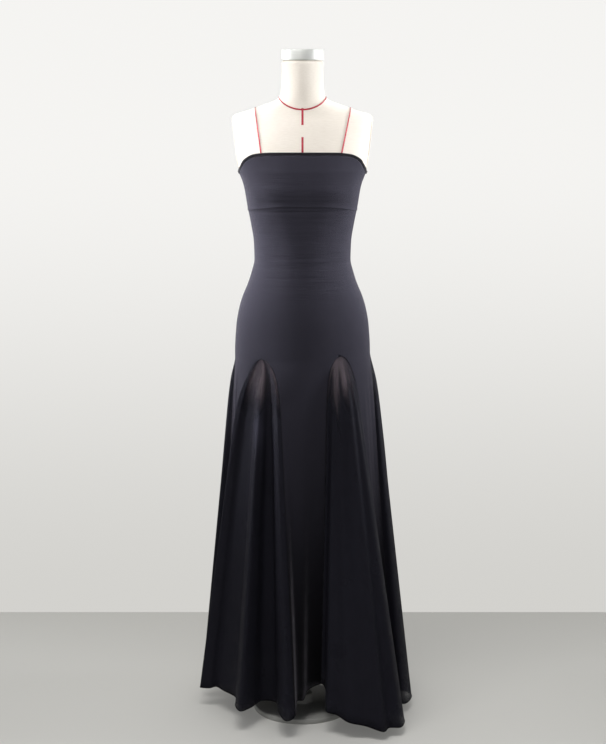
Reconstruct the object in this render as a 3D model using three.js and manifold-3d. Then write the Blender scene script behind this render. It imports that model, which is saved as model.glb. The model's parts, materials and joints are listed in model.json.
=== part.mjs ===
// Mesh panel dress on a limbless dress form.
// Millimetres, +Z up, the front faces -Y, and the origin is on the floor under the pole.
// Left and right are as seen from the front, so left is -X.

import * as THREE from 'three';
import Module from 'manifold-3d';

const wasm = await Module();
wasm.setup();

// Cloth
const JERSEY = 1.4;
const NET = 1.0;
const BAND = 2.2;
const BAND_HEIGHT = 7;
const SEAM_GAP = 0.3;
const FORM_GAP = 1.0;

// Skirt
const SKIRT_DROP = 905;
const ARCH_DROP = 38;
const EARLY_FLARE = 0.085;
const EARLY_DROP = 55;
const BELLY_DROP = 85;
const SIDE_TURN = 90;

// Dress form
const FORM_BOTTOM = 805;
const NECK_TOP = 1705;
const CAP_RADIUS = 53.2;
const CAP_TOP = 1732.6;
const CAP_BEVEL = 1.5;
const PLATE_THICKNESS = 3;
const PLATE_LOW = { x: 161, z: 1430 };
const PLATE_HIGH = { x: 178, z: 1568 };
const ARMHOLE_CUT = { reach: 120, depth: 400, length: 300 };

// Stand
const BASE_RADIUS = 130;
const BASE_THICKNESS = 14;
const BASE_BEVEL = 3;
const SOCKET_RADIUS = 26;
const SOCKET_HEIGHT = 40;
const POLE_RADIUS = 15;
const FLANGE_RADIUS = 45;
const FLANGE_THICKNESS = 6;
const ROUND_SIDES = 40;

// Points closer than this are one
const WELD_DISTANCE = 0.001;

// Outer surface of the cloth at each height: half width, depth before and behind the axis,
// and how square the oval is in front and behind, where 2 is an ellipse.
const TORSO = [
  { z: 800, half: 168, front: 104, back: 112, squareFront: 2, squareBack: 2 },
  { z: 870, half: 172, front: 110, back: 121, squareFront: 2, squareBack: 2 },
  { z: 965, half: 173.5, front: 112, back: 124, squareFront: 2, squareBack: 2 },
  { z: 1036, half: 169.5, front: 112, back: 123, squareFront: 2.05, squareBack: 2 },
  { z: 1082, half: 161.5, front: 109, back: 116, squareFront: 2.1, squareBack: 2 },
  { z: 1113, half: 152, front: 105, back: 107, squareFront: 2.1, squareBack: 2.05 },
  { z: 1144, half: 139, front: 101, back: 98, squareFront: 2.1, squareBack: 2.1 },
  { z: 1175, half: 129, front: 97, back: 90, squareFront: 2.1, squareBack: 2.1 },
  { z: 1206, half: 122, front: 94, back: 85, squareFront: 2.1, squareBack: 2.1 },
  { z: 1252, half: 123.5, front: 95, back: 86, squareFront: 2.1, squareBack: 2.15 },
  { z: 1298, half: 130.5, front: 101, back: 92, squareFront: 2.2, squareBack: 2.2 },
  { z: 1344, half: 139.5, front: 112, back: 98, squareFront: 2.4, squareBack: 2.25 },
  { z: 1390, half: 147, front: 125, back: 103, squareFront: 2.6, squareBack: 2.3 },
  { z: 1430, half: 161, front: 122, back: 105, squareFront: 2.6, squareBack: 2.3 },
  { z: 1445, half: 168, front: 119, back: 105, squareFront: 2.5, squareBack: 2.3 },
  { z: 1480, half: 183, front: 109, back: 104, squareFront: 2.4, squareBack: 2.3 },
  { z: 1535, half: 189, front: 83, back: 97, squareFront: 2.3, squareBack: 2.3 },
  { z: 1558, half: 184, front: 69, back: 88, squareFront: 2.2, squareBack: 2.2 },
  { z: 1568, half: 179, front: 62, back: 82, squareFront: 2.1, squareBack: 2.1 },
  { z: 1582, half: 138, front: 56, back: 75, squareFront: 2, squareBack: 2 },
  { z: 1597, half: 96, front: 52.5, back: 67, squareFront: 2, squareBack: 2 },
  { z: 1609, half: 66, front: 51, back: 61, squareFront: 2, squareBack: 2 },
  { z: 1622, half: 57, front: 51, back: 57, squareFront: 2, squareBack: 2 },
  { z: 1645, half: 54.5, front: 52, back: 54.5, squareFront: 2, squareBack: 2 },
  { z: 1710, half: 53, front: 53, back: 53, squareFront: 2, squareBack: 2 },
];

// Height of the top edge and of the under-bust seam, by the turn from the centre front in degrees.
const EDGES = [
  { turn: 0, top: 1481, underBust: 1347 },
  { turn: 22, top: 1480.5, underBust: 1346 },
  { turn: 36, top: 1477, underBust: 1343 },
  { turn: 50, top: 1465, underBust: 1339 },
  { turn: 64, top: 1447, underBust: 1335.5 },
  { turn: 78, top: 1435, underBust: 1333 },
  { turn: 90, top: 1430, underBust: 1332 },
  { turn: 120, top: 1428, underBust: 1332 },
  { turn: 180, top: 1432, underBust: 1334 },
];

// Levels at which the jersey body, the bust and the form have their rings.
const BODY_LEVELS = [1314, 1282, 1253, 1229, 1206, 1184, 1161, 1133, 1098, 1056, 1006];
const BUST_STEPS = [0, 0.16, 0.32, 0.49, 0.66, 0.83, 1];
const FORM_LEVELS = [
  FORM_BOTTOM, 870, 965, 1006, 1056, 1098, 1133, 1161, 1184, 1206, 1229, 1253, 1282, 1314, 1344, 1368, 1390,
  1411, 1430, 1445, 1462, 1480, 1510, 1535, 1558, 1568, 1582, 1597, 1609, 1622, 1645, NECK_TOP,
];

// Drops below the godet tops at which the skirt has its rings.
const SKIRT_DROPS = [0, 2.5, 10, 25, 50, 88, 140, 230, 400, 630, SKIRT_DROP];
const GODET_START = 0.25;

// The panels round the skirt, from the left side seam on. A godet has the turn of its centre line, half the
// turn that it opens to, and the height of its top.
const PANELS = [
  { name: 'godet_side_left', steps: 2, centre: -SIDE_TURN, opening: 13, apex: 957 },
  { name: 'front_strip_left', steps: 3 },
  { name: 'godet_front_left', steps: 2, centre: -36.5, opening: 14.5, apex: 961 },
  { name: 'front_strip_centre', steps: 3 },
  { name: 'godet_front_right', steps: 2, centre: 34, opening: 12, apex: 969 },
  { name: 'front_strip_right', steps: 3 },
  { name: 'godet_side_right', steps: 2, centre: SIDE_TURN, opening: 13, apex: 970 },
  { name: 'back_strip_right', steps: 3 },
  { name: 'godet_back_right', steps: 2, centre: 144.5, opening: 14, apex: 966 },
  { name: 'back_strip_centre', steps: 2 },
  { name: 'godet_back_left', steps: 2, centre: 215.5, opening: 14, apex: 962 },
  { name: 'back_strip_left', steps: 3 },
];

// The hem seen from above, with its height. A panel's first row is its seam with the panel before it, and the
// rows after it are the panel's ridges, valleys and turns. Belly is how far a fold stands out above the hem.
const HEM = [
  { panel: 'godet_side_left', x: -226, y: 118, z: 58 },
  { panel: 'godet_side_left', x: -256, y: 142, z: 57 },
  { panel: 'godet_side_left', x: -270, y: 112, z: 57 },
  { panel: 'godet_side_left', x: -222, y: 93, z: 58 },
  { panel: 'godet_side_left', x: -216, y: 73, z: 58 },
  { panel: 'godet_side_left', x: -264, y: 74, z: 57 },
  { panel: 'godet_side_left', x: -268, y: 47, z: 56 },
  { panel: 'front_strip_left', x: -222, y: 46, z: 57 },
  { panel: 'front_strip_left', x: -198, y: 28, z: 58 },
  { panel: 'godet_front_left', x: -216, y: 10, z: 57 },
  { panel: 'godet_front_left', x: -250, y: 15, z: 56, belly: 10 },
  { panel: 'godet_front_left', x: -275, y: -2, z: 54, belly: 17 },
  { panel: 'godet_front_left', x: -250, y: -14, z: 56, belly: 14 },
  { panel: 'godet_front_left', x: -230, y: -14, z: 60, belly: 10 },
  { panel: 'godet_front_left', x: -209, y: -44, z: 60, belly: 4 },
  { panel: 'godet_front_left', x: -176, y: -92, z: 61 },
  { panel: 'godet_front_left', x: -174, y: -150, z: 60 },
  { panel: 'godet_front_left', x: -159, y: -186, z: 60 },
  { panel: 'godet_front_left', x: -132, y: -158, z: 60 },
  { panel: 'godet_front_left', x: -107, y: -114, z: 60 },
  { panel: 'godet_front_left', x: -70, y: -124, z: 60 },
  { panel: 'godet_front_left', x: -61, y: -190, z: 58 },
  { panel: 'godet_front_left', x: -42, y: -231, z: 52 },
  { panel: 'front_strip_centre', x: -19, y: -214, z: 58 },
  { panel: 'front_strip_centre', x: -15, y: -180, z: 84 },
  { panel: 'front_strip_centre', x: 2, y: -158, z: 80 },
  { panel: 'front_strip_centre', x: 14, y: -132, z: 97 },
  { panel: 'godet_front_right', x: 48, y: -111, z: 105 },
  { panel: 'godet_front_right', x: 60, y: -126, z: 96 },
  { panel: 'godet_front_right', x: 60, y: -162, z: 76 },
  { panel: 'godet_front_right', x: 62, y: -194, z: 62 },
  { panel: 'godet_front_right', x: 88, y: -206, z: 58 },
  { panel: 'godet_front_right', x: 118, y: -226, z: 46 },
  { panel: 'godet_front_right', x: 162, y: -226, z: 36 },
  { panel: 'godet_front_right', x: 205, y: -238, z: 26 },
  { panel: 'godet_front_right', x: 222, y: -212, z: 26 },
  { panel: 'godet_front_right', x: 252, y: -206, z: 25 },
  { panel: 'godet_front_right', x: 264, y: -165, z: 25 },
  { panel: 'godet_front_right', x: 256, y: -130, z: 27 },
  { panel: 'godet_front_right', x: 232, y: -112, z: 28 },
  { panel: 'front_strip_right', x: 218, y: -88, z: 29 },
  { panel: 'front_strip_right', x: 220, y: -56, z: 30 },
  { panel: 'godet_side_right', x: 242, y: -38, z: 30 },
  { panel: 'godet_side_right', x: 269, y: -50, z: 26 },
  { panel: 'godet_side_right', x: 288, y: -18, z: 25 },
  { panel: 'godet_side_right', x: 292, y: 25, z: 25 },
  { panel: 'godet_side_right', x: 262, y: 55, z: 27 },
  { panel: 'godet_side_right', x: 252, y: 88, z: 28 },
  { panel: 'godet_side_right', x: 280, y: 112, z: 26 },
  { panel: 'godet_side_right', x: 264, y: 148, z: 28 },
  { panel: 'godet_side_right', x: 234, y: 146, z: 30 },
  { panel: 'back_strip_right', x: 224, y: 122, z: 32 },
  { panel: 'back_strip_right', x: 206, y: 152, z: 34 },
  { panel: 'godet_back_right', x: 190, y: 180, z: 36 },
  { panel: 'godet_back_right', x: 205, y: 218, z: 34 },
  { panel: 'godet_back_right', x: 178, y: 242, z: 36 },
  { panel: 'godet_back_right', x: 150, y: 208, z: 40 },
  { panel: 'godet_back_right', x: 137, y: 258, z: 40 },
  { panel: 'godet_back_right', x: 108, y: 270, z: 42 },
  { panel: 'godet_back_right', x: 90, y: 228, z: 46 },
  { panel: 'godet_back_right', x: 70, y: 262, z: 46 },
  { panel: 'back_strip_centre', x: 46, y: 226, z: 52 },
  { panel: 'back_strip_centre', x: 20, y: 214, z: 57 },
  { panel: 'back_strip_centre', x: -4, y: 220, z: 59 },
  { panel: 'back_strip_centre', x: -28, y: 212, z: 60 },
  { panel: 'godet_back_left', x: -53, y: 224, z: 58 },
  { panel: 'godet_back_left', x: -78, y: 262, z: 54 },
  { panel: 'godet_back_left', x: -98, y: 226, z: 54 },
  { panel: 'godet_back_left', x: -120, y: 266, z: 52 },
  { panel: 'godet_back_left', x: -148, y: 258, z: 52 },
  { panel: 'godet_back_left', x: -158, y: 212, z: 54 },
  { panel: 'godet_back_left', x: -188, y: 234, z: 54 },
  { panel: 'godet_back_left', x: -212, y: 208, z: 55 },
  { panel: 'back_strip_left', x: -192, y: 176, z: 57 },
  { panel: 'back_strip_left', x: -206, y: 144, z: 58 },
];

// Turns at which the bust, the bands and the form have their columns, half round from a side seam.
const FRONT_COLUMNS = 24;
const BACK_COLUMNS = 20;
const FRONT_TURNS = halfRound(-SIDE_TURN, FRONT_COLUMNS);
const BACK_TURNS = halfRound(SIDE_TURN, BACK_COLUMNS);

// Finishes
const COLOURS = {
  jersey: { color: 0x1d1c24, roughness: 0.82, metalness: 0 },
  net: { color: 0x15141b, roughness: 0.7, metalness: 0 },
  band: { color: 0x24232a, roughness: 0.8, metalness: 0 },
  linen: { color: 0xece4d6, roughness: 0.9, metalness: 0 },
  cap: { color: 0xc9cac8, roughness: 0.35, metalness: 1 },
  stand: { color: 0xd9d9d6, roughness: 0.5, metalness: 0.1 },
};

const mix = (from, to, part) => from + (to - from) * part;
const radians = THREE.MathUtils.degToRad;

// The value of one column of a table at a place between its rows, on a curve that never overshoots a row.
function along(table, key, column, place) {
  const last = table.length - 1;
  const at = THREE.MathUtils.clamp(place, table[0][key], table[last][key]);
  let i = 0;
  while (i < last - 1 && at > table[i + 1][key]) i += 1;
  const slope = (k) => {
    const a = table[k];
    const b = table[k + 1];
    return (b[column] - a[column]) / (b[key] - a[key]);
  };
  const tangent = (k) => {
    if (k === 0) return slope(0);
    if (k === last) return slope(last - 1);
    const before = slope(k - 1);
    const after = slope(k);
    return before * after <= 0 ? 0 : (2 * before * after) / (before + after);
  };
  const span = table[i + 1][key] - table[i][key];
  const t = (at - table[i][key]) / span;
  const t2 = t * t;
  const t3 = t2 * t;
  return (2 * t3 - 3 * t2 + 1) * table[i][column] + (t3 - 2 * t2 + t) * span * tangent(i)
    + (3 * t2 - 2 * t3) * table[i + 1][column] + (t3 - t2) * span * tangent(i + 1);
}

// A point of the torso's oval at a height and a turn in degrees, grown outwards by some millimetres.
function ovalPoint(z, turn, grow = 0) {
  const side = Math.sin(radians(turn));
  const face = Math.cos(radians(turn));
  const end = face > 0 ? 'front' : 'back';
  const power = 2 / along(TORSO, 'z', face > 0 ? 'squareFront' : 'squareBack', z);
  const x = (along(TORSO, 'z', 'half', z) + grow) * Math.sign(side) * Math.abs(side) ** power;
  const y = -(along(TORSO, 'z', end, z) + grow) * Math.sign(face) * Math.abs(face) ** power;
  return new THREE.Vector3(x, y, z);
}

// The outward direction at a point from its neighbours along the row, in the order of rising turn, and from
// those above and below. In a sharp fold it points along the middle of the angle.
function facing(here, before, after, above, below) {
  const across = after.clone().sub(here).normalize().add(here.clone().sub(before).normalize());
  const down = below.clone().sub(above);
  return down.cross(across).normalize();
}

function ovalFacing(z, turn) {
  const step = 1.5;
  return facing(
    ovalPoint(z, turn),
    ovalPoint(z, turn - step),
    ovalPoint(z, turn + step),
    ovalPoint(z + step, turn),
    ovalPoint(z - step, turn),
  );
}

// Top edge and under-bust seam are alike on both sides of the centre front.
function edgeHeight(column, turn) {
  const folded = Math.abs(((turn + 180) % 360 + 360) % 360 - 180);
  return along(EDGES, 'turn', column, folded);
}

// Place of each panel in the hem table, and of its godet neighbours.
PANELS.forEach((panel, index) => {
  panel.start = HEM.findIndex((row) => row.panel === panel.name);
  panel.end = panel.start + HEM.filter((row) => row.panel === panel.name).length;
  panel.before = PANELS[(index + PANELS.length - 1) % PANELS.length];
  panel.after = PANELS[(index + 1) % PANELS.length];
});

// The hem is a closed curve through the rows of its table.
function hemPoint(u) {
  const count = HEM.length;
  const i = Math.floor(u);
  const t = u - i;
  const [a, b, c, d] = [-1, 0, 1, 2].map((k) => HEM[((i + k) % count + count) % count]);
  const curve = (key) => {
    const [p, q, r, s] = [a, b, c, d].map((row) => row[key] ?? 0);
    return 0.5 * (2 * q + (r - p) * t + (2 * p - 5 * q + 4 * r - s) * t * t
      + (3 * q - p - 3 * r + s) * t * t * t);
  };
  return { point: new THREE.Vector3(curve('x'), curve('y'), curve('z')), belly: curve('belly') };
}

// How far a godet has opened at a drop below its top, from 0 to 1, as a rounded arch.
const archAt = (drop) => Math.sqrt(1 - Math.exp(-drop / ARCH_DROP));

// The turn and the godet-top height that a place in the hem table hangs from, at a drop.
function hangsFrom(u, drop) {
  const count = HEM.length;
  const place = ((u % count) + count) % count;
  const panel = PANELS.find((p) => place >= p.start && place < p.end);
  const part = (place - panel.start) / (panel.end - panel.start);
  const arch = archAt(drop);
  if (panel.centre !== undefined) {
    return { turn: panel.centre + (2 * part - 1) * panel.opening * arch, apex: panel.apex };
  }
  const from = panel.before.centre + panel.before.opening * arch;
  const wrap = panel.after.centre < panel.before.centre ? 360 : 0;
  const to = panel.after.centre + wrap - panel.after.opening * arch;
  return { turn: mix(from, to, part), apex: mix(panel.before.apex, panel.after.apex, part) };
}

// The skirt runs from the hip oval out to the hem: most of the way steadily, and a little at once.
function skirtPoint(u, drop) {
  const { turn, apex } = hangsFrom(u, drop);
  const hem = hemPoint(u);
  const part = drop / SKIRT_DROP;
  const flare = (1 - EARLY_FLARE) * part + EARLY_FLARE * (1 - Math.exp(-((drop / EARLY_DROP) ** 1.5)));
  const hip = ovalPoint(apex, turn);
  const stand = hem.belly * (1 - Math.exp(-((drop / BELLY_DROP) ** 2))) * (1 - part);
  const point = hip.clone().lerp(hem.point, flare);
  point.addScaledVector(new THREE.Vector3(hip.x, hip.y, 0).normalize(), stand);
  point.z = mix(apex, hem.point.z, part);
  return point;
}

function skirtFacing(u, drop) {
  const step = 0.2;
  const rise = Math.min(step * 5, drop / 2);
  return facing(
    skirtPoint(u, drop),
    skirtPoint(u - step, drop),
    skirtPoint(u + step, drop),
    skirtPoint(u, drop - rise),
    skirtPoint(u, drop + rise),
  );
}

// A sheet gathers points with their outward directions, and faces of three or four sides between them.
class Sheet {
  constructor() {
    this.points = [];
    this.facings = [];
    this.faces = [];
  }

  add(point, facingOut) {
    this.points.push(point);
    this.facings.push(facingOut);
    return this.points.length - 1;
  }

  // Rows run downwards and columns in the order of rising turn.
  weave(rows) {
    for (let r = 0; r + 1 < rows.length; r += 1) {
      for (let c = 0; c + 1 < rows[r].length; c += 1) {
        this.faces.push([rows[r][c], rows[r + 1][c], rows[r + 1][c + 1], rows[r][c + 1]]);
      }
    }
  }

  // Joins one point to the row below it.
  fan(tip, row) {
    for (let c = 0; c + 1 < row.length; c += 1) this.faces.push([tip, row[c], row[c + 1]]);
  }

  // Draws the two side edges of some rows in by half the seam gap, square to the seam.
  trim(rows) {
    [0, rows[0].length - 1].forEach((column) => {
      const edge = rows.map((row) => row[column]);
      const way = column === 0 ? 1 : -1;
      const shifts = edge.map((index, r) => {
        const above = this.points[edge[Math.max(r - 1, 0)]];
        const below = this.points[edge[Math.min(r + 1, edge.length - 1)]];
        const seam = below.clone().sub(above);
        return this.facings[index].clone().cross(seam).setLength(way * SEAM_GAP / 2);
      });
      edge.forEach((index, r) => this.points[index].add(shifts[r]));
    });
  }

  // A wall round the sheet: the outer face, the inner face and a rim along every free edge.
  wall(outward, inward) {
    const count = this.points.length;
    const positions = [];
    [outward, -inward].forEach((shift) => {
      this.points.forEach((point, i) => {
        const moved = point.clone().addScaledVector(this.facings[i], shift);
        positions.push(moved.x, moved.y, moved.z);
      });
    });
    const triangles = [];
    const edges = new Map();
    this.faces.forEach((face) => {
      face.forEach((from, k) => {
        const to = face[(k + 1) % face.length];
        edges.set(`${from}>${to}`, [from, to]);
        if (k === 0 || to === face[0]) return;
        triangles.push(face[0], from, to);
        triangles.push(face[0] + count, to + count, from + count);
      });
    });
    edges.forEach(([from, to]) => {
      if (edges.has(`${to}>${from}`)) return;
      triangles.push(to, from, from + count, to, from + count, to + count);
    });
    return solid(positions, triangles);
  }
}

function solid(positions, triangles) {
  const geometry = new THREE.BufferGeometry();
  geometry.setAttribute('position', new THREE.Float32BufferAttribute(positions, 3));
  geometry.setIndex(triangles);
  geometry.computeVertexNormals();
  return geometry;
}

// The places in the hem table at which a panel has its columns, with both ends.
function columnsOf(panel) {
  const count = (panel.end - panel.start) * panel.steps;
  return Array.from({ length: count + 1 }, (_, k) => panel.start + k / panel.steps);
}

const panelNamed = (name) => PANELS.find((panel) => panel.name === name);

// A godet fills its slit from just under the top down to the hem.
function godetGeometry(panel) {
  const sheet = new Sheet();
  const columns = columnsOf(panel);
  const rows = SKIRT_DROPS.slice(1).map((drop) => columns.map(
    (u) => sheet.add(skirtPoint(u, drop), skirtFacing(u, drop)),
  ));
  sheet.trim(rows);
  sheet.weave(rows);
  const middle = rows[0][Math.floor(columns.length / 2)];
  const tip = ovalPoint(panel.apex, panel.centre).lerp(sheet.points[middle], GODET_START);
  sheet.fan(sheet.add(tip, sheet.facings[middle]), rows[0]);
  return sheet.wall(NET / 2, NET / 2);
}

// A jersey body panel is whole down to the godet tops and hangs in three strips below them.
function bodyGeometry(stripNames) {
  const sheet = new Sheet();
  const strips = stripNames.map(panelNamed);
  const tops = [];
  strips.forEach((strip, k) => {
    columnsOf(strip).slice(k === 0 ? 0 : 1).forEach((u, i, all) => {
      const atEnd = i === all.length - 1;
      tops.push(atEnd ? { turn: hangsFrom(u, 0).turn, apex: strip.after.apex } : hangsFrom(u, 0));
    });
  });
  const firstTurn = tops[0].turn;
  tops.forEach((top) => {
    if (top.turn < firstTurn) top.turn += 360;
  });
  const ring = (heightAt) => tops.map((top) => {
    const z = heightAt(top);
    return sheet.add(ovalPoint(z, top.turn), ovalFacing(z, top.turn));
  });
  const upper = [
    ring((top) => edgeHeight('underBust', top.turn) - SEAM_GAP / 2),
    ...BODY_LEVELS.map((level) => ring(() => level)),
    ring((top) => top.apex),
  ];
  sheet.trim(upper);
  sheet.weave(upper);
  const apexRow = upper[upper.length - 1];
  let begin = 0;
  strips.forEach((strip) => {
    const columns = columnsOf(strip);
    const top = apexRow.slice(begin, begin + columns.length);
    const lower = SKIRT_DROPS.slice(1).map((drop) => columns.map(
      (u) => sheet.add(skirtPoint(u, drop), skirtFacing(u, drop)),
    ));
    sheet.trim(lower);
    sheet.weave([top, ...lower]);
    begin += columns.length - 1;
  });
  return sheet.wall(JERSEY / 2, JERSEY / 2);
}

// Turns for a panel that runs half round the body, from its left or right side seam.
function halfRound(fromTurn, count) {
  return Array.from({ length: count + 1 }, (_, k) => fromTurn + (180 * k) / count);
}

// A bust panel between the under-bust seam and the band.
function bustGeometry(turns) {
  const sheet = new Sheet();
  const rows = BUST_STEPS.map((step) => turns.map((turn) => {
    const low = edgeHeight('underBust', turn) + SEAM_GAP / 2;
    const high = edgeHeight('top', turn) - BAND_HEIGHT - SEAM_GAP;
    const z = mix(high, low, step);
    return sheet.add(ovalPoint(z, turn), ovalFacing(z, turn));
  }));
  sheet.trim(rows);
  sheet.weave(rows);
  return sheet.wall(JERSEY / 2, JERSEY / 2);
}

// The folded band stands on the top edge of its bust panel and is thicker outwards.
function bandGeometry(turns) {
  const sheet = new Sheet();
  const rows = [0, BAND_HEIGHT].map((fall) => turns.map((turn) => {
    const z = edgeHeight('top', turn) - fall;
    return sheet.add(ovalPoint(z, turn), ovalFacing(z, turn));
  }));
  sheet.trim(rows);
  sheet.weave(rows);
  return sheet.wall(BAND - JERSEY / 2, JERSEY / 2);
}

// Rings of points, closed with a fan at the bottom and at the top.
function loftGeometry(rings) {
  const sides = rings[0].length;
  const positions = [];
  rings.flat().forEach((point) => positions.push(point.x, point.y, point.z));
  const triangles = [];
  for (let r = 0; r + 1 < rings.length; r += 1) {
    for (let c = 0; c < sides; c += 1) {
      const a = r * sides + c;
      const b = r * sides + ((c + 1) % sides);
      triangles.push(a, b, b + sides, a, b + sides, a + sides);
    }
  }
  [[rings[0], 0, true], [rings[rings.length - 1], (rings.length - 1) * sides, false]].forEach(
    ([ring, begin, under]) => {
      const middle = positions.length / 3;
      positions.push(0, 0, ring[0].z);
      for (let c = 0; c < sides; c += 1) {
        const a = begin + c;
        const b = begin + ((c + 1) % sides);
        triangles.push(...(under ? [middle, b, a] : [middle, a, b]));
      }
    },
  );
  return solid(positions, triangles);
}

function toManifold(geometry) {
  return new wasm.Manifold(new wasm.Mesh({
    numProp: 3,
    vertProperties: new Float32Array(geometry.attributes.position.array),
    triVerts: new Uint32Array(geometry.index.array),
  }));
}

function fromManifold(manifold) {
  const mesh = manifold.getMesh();
  return solid(Array.from(mesh.vertProperties), Array.from(mesh.triVerts));
}

// The torso before its armholes are cut.
function torsoManifold() {
  const inset = -(JERSEY / 2 + FORM_GAP);
  const turns = [...FRONT_TURNS.slice(0, -1), ...BACK_TURNS.slice(0, -1)];
  const rings = FORM_LEVELS.map((level) => turns.map((turn) => ovalPoint(level, turn, inset)));
  return toManifold(loftGeometry(rings));
}

// A slab square to the armhole's slope, whose inner face stands off the plate's inner plane.
function slabManifold(side, standOff, thickness) {
  const rise = PLATE_HIGH.z - PLATE_LOW.z;
  const run = PLATE_HIGH.x - PLATE_LOW.x;
  const lean = Math.atan2(run, rise);
  const slab = new THREE.BoxGeometry(thickness, ARMHOLE_CUT.depth, ARMHOLE_CUT.length);
  slab.deleteAttribute('normal');
  slab.deleteAttribute('uv');
  slab.translate(standOff + thickness / 2 - PLATE_THICKNESS, 0, 0);
  slab.rotateY(lean);
  slab.translate((PLATE_LOW.x + PLATE_HIGH.x) / 2, 0, (PLATE_LOW.z + PLATE_HIGH.z) / 2);
  if (side < 0) slab.rotateZ(Math.PI);
  return toManifold(weld(slab));
}

// Joins vertices that lie together, and drops the faces that this closes up.
function weld(geometry) {
  const spots = new Map();
  const positions = [];
  const old = geometry.attributes.position;
  const index = Array.from(geometry.index.array, (i) => {
    const spot = [old.getX(i), old.getY(i), old.getZ(i)];
    const key = spot.map((value) => Math.round(value / WELD_DISTANCE)).join();
    if (!spots.has(key)) {
      spots.set(key, positions.length / 3);
      positions.push(...spot);
    }
    return spots.get(key);
  });
  const triangles = [];
  for (let i = 0; i < index.length; i += 3) {
    const corners = index.slice(i, i + 3);
    if (new Set(corners).size === 3) triangles.push(...corners);
  }
  return solid(positions, triangles);
}

function formGeometries() {
  const torso = torsoManifold();
  let body = torso;
  const plates = [-1, 1].map((side) => {
    body = body.subtract(slabManifold(side, -SEAM_GAP, ARMHOLE_CUT.reach));
    return fromManifold(torso.intersect(slabManifold(side, 0, PLATE_THICKNESS)));
  });
  return { body: fromManifold(body), plates };
}

// A solid of revolution about the pole's axis from a list of radius and height pairs.
function turned(profile) {
  const points = profile.map(([radius, z]) => new THREE.Vector2(radius, z));
  const lathe = new THREE.LatheGeometry(points, ROUND_SIDES);
  lathe.deleteAttribute('normal');
  lathe.deleteAttribute('uv');
  lathe.rotateX(Math.PI / 2);
  return weld(lathe);
}

const capGeometry = () => turned([
  [0, NECK_TOP + SEAM_GAP],
  [CAP_RADIUS - CAP_BEVEL, NECK_TOP + SEAM_GAP],
  [CAP_RADIUS, NECK_TOP + SEAM_GAP + CAP_BEVEL],
  [CAP_RADIUS, CAP_TOP - CAP_BEVEL],
  [CAP_RADIUS - CAP_BEVEL, CAP_TOP],
  [0, CAP_TOP],
]);

const baseGeometry = () => turned([
  [0, 0],
  [BASE_RADIUS, 0],
  [BASE_RADIUS, BASE_THICKNESS - BASE_BEVEL],
  [BASE_RADIUS - BASE_BEVEL, BASE_THICKNESS],
  [SOCKET_RADIUS, BASE_THICKNESS],
  [SOCKET_RADIUS, SOCKET_HEIGHT],
  [0, SOCKET_HEIGHT],
]);

const poleGeometry = () => turned([
  [0, SOCKET_HEIGHT + SEAM_GAP],
  [POLE_RADIUS, SOCKET_HEIGHT + SEAM_GAP],
  [POLE_RADIUS, FORM_BOTTOM - SEAM_GAP - FLANGE_THICKNESS],
  [FLANGE_RADIUS, FORM_BOTTOM - SEAM_GAP - FLANGE_THICKNESS],
  [FLANGE_RADIUS, FORM_BOTTOM - SEAM_GAP],
  [0, FORM_BOTTOM - SEAM_GAP],
]);

const group = new THREE.Group();

function place(name, geometry, finish) {
  const mesh = new THREE.Mesh(geometry, new THREE.MeshStandardMaterial(finish));
  mesh.name = name;
  group.add(mesh);
}

place('bust_front', bustGeometry(FRONT_TURNS), COLOURS.jersey);
place('bust_back', bustGeometry(BACK_TURNS), COLOURS.jersey);
place('top_band_front', bandGeometry(FRONT_TURNS), COLOURS.band);
place('top_band_back', bandGeometry(BACK_TURNS), COLOURS.band);
place('body_front', bodyGeometry(['front_strip_left', 'front_strip_centre', 'front_strip_right']), COLOURS.jersey);
place('body_back', bodyGeometry(['back_strip_right', 'back_strip_centre', 'back_strip_left']), COLOURS.jersey);
PANELS.filter((panel) => panel.centre !== undefined).forEach((panel) => {
  place(panel.name, godetGeometry(panel), COLOURS.net);
});

const form = formGeometries();
place('form_body', form.body, COLOURS.linen);
place('arm_plate_left', form.plates[0], COLOURS.linen);
place('arm_plate_right', form.plates[1], COLOURS.linen);
place('neck_cap', capGeometry(), COLOURS.cap);
place('stand_pole', poleGeometry(), COLOURS.stand);
place('stand_base', baseGeometry(), COLOURS.stand);

export default group;
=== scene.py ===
# Looks of the mesh panel dress and its dress form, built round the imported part.
# Metres, +Z up, the front faces -Y. Left is -X. The tables are in millimetres and degrees.

import json

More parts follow.
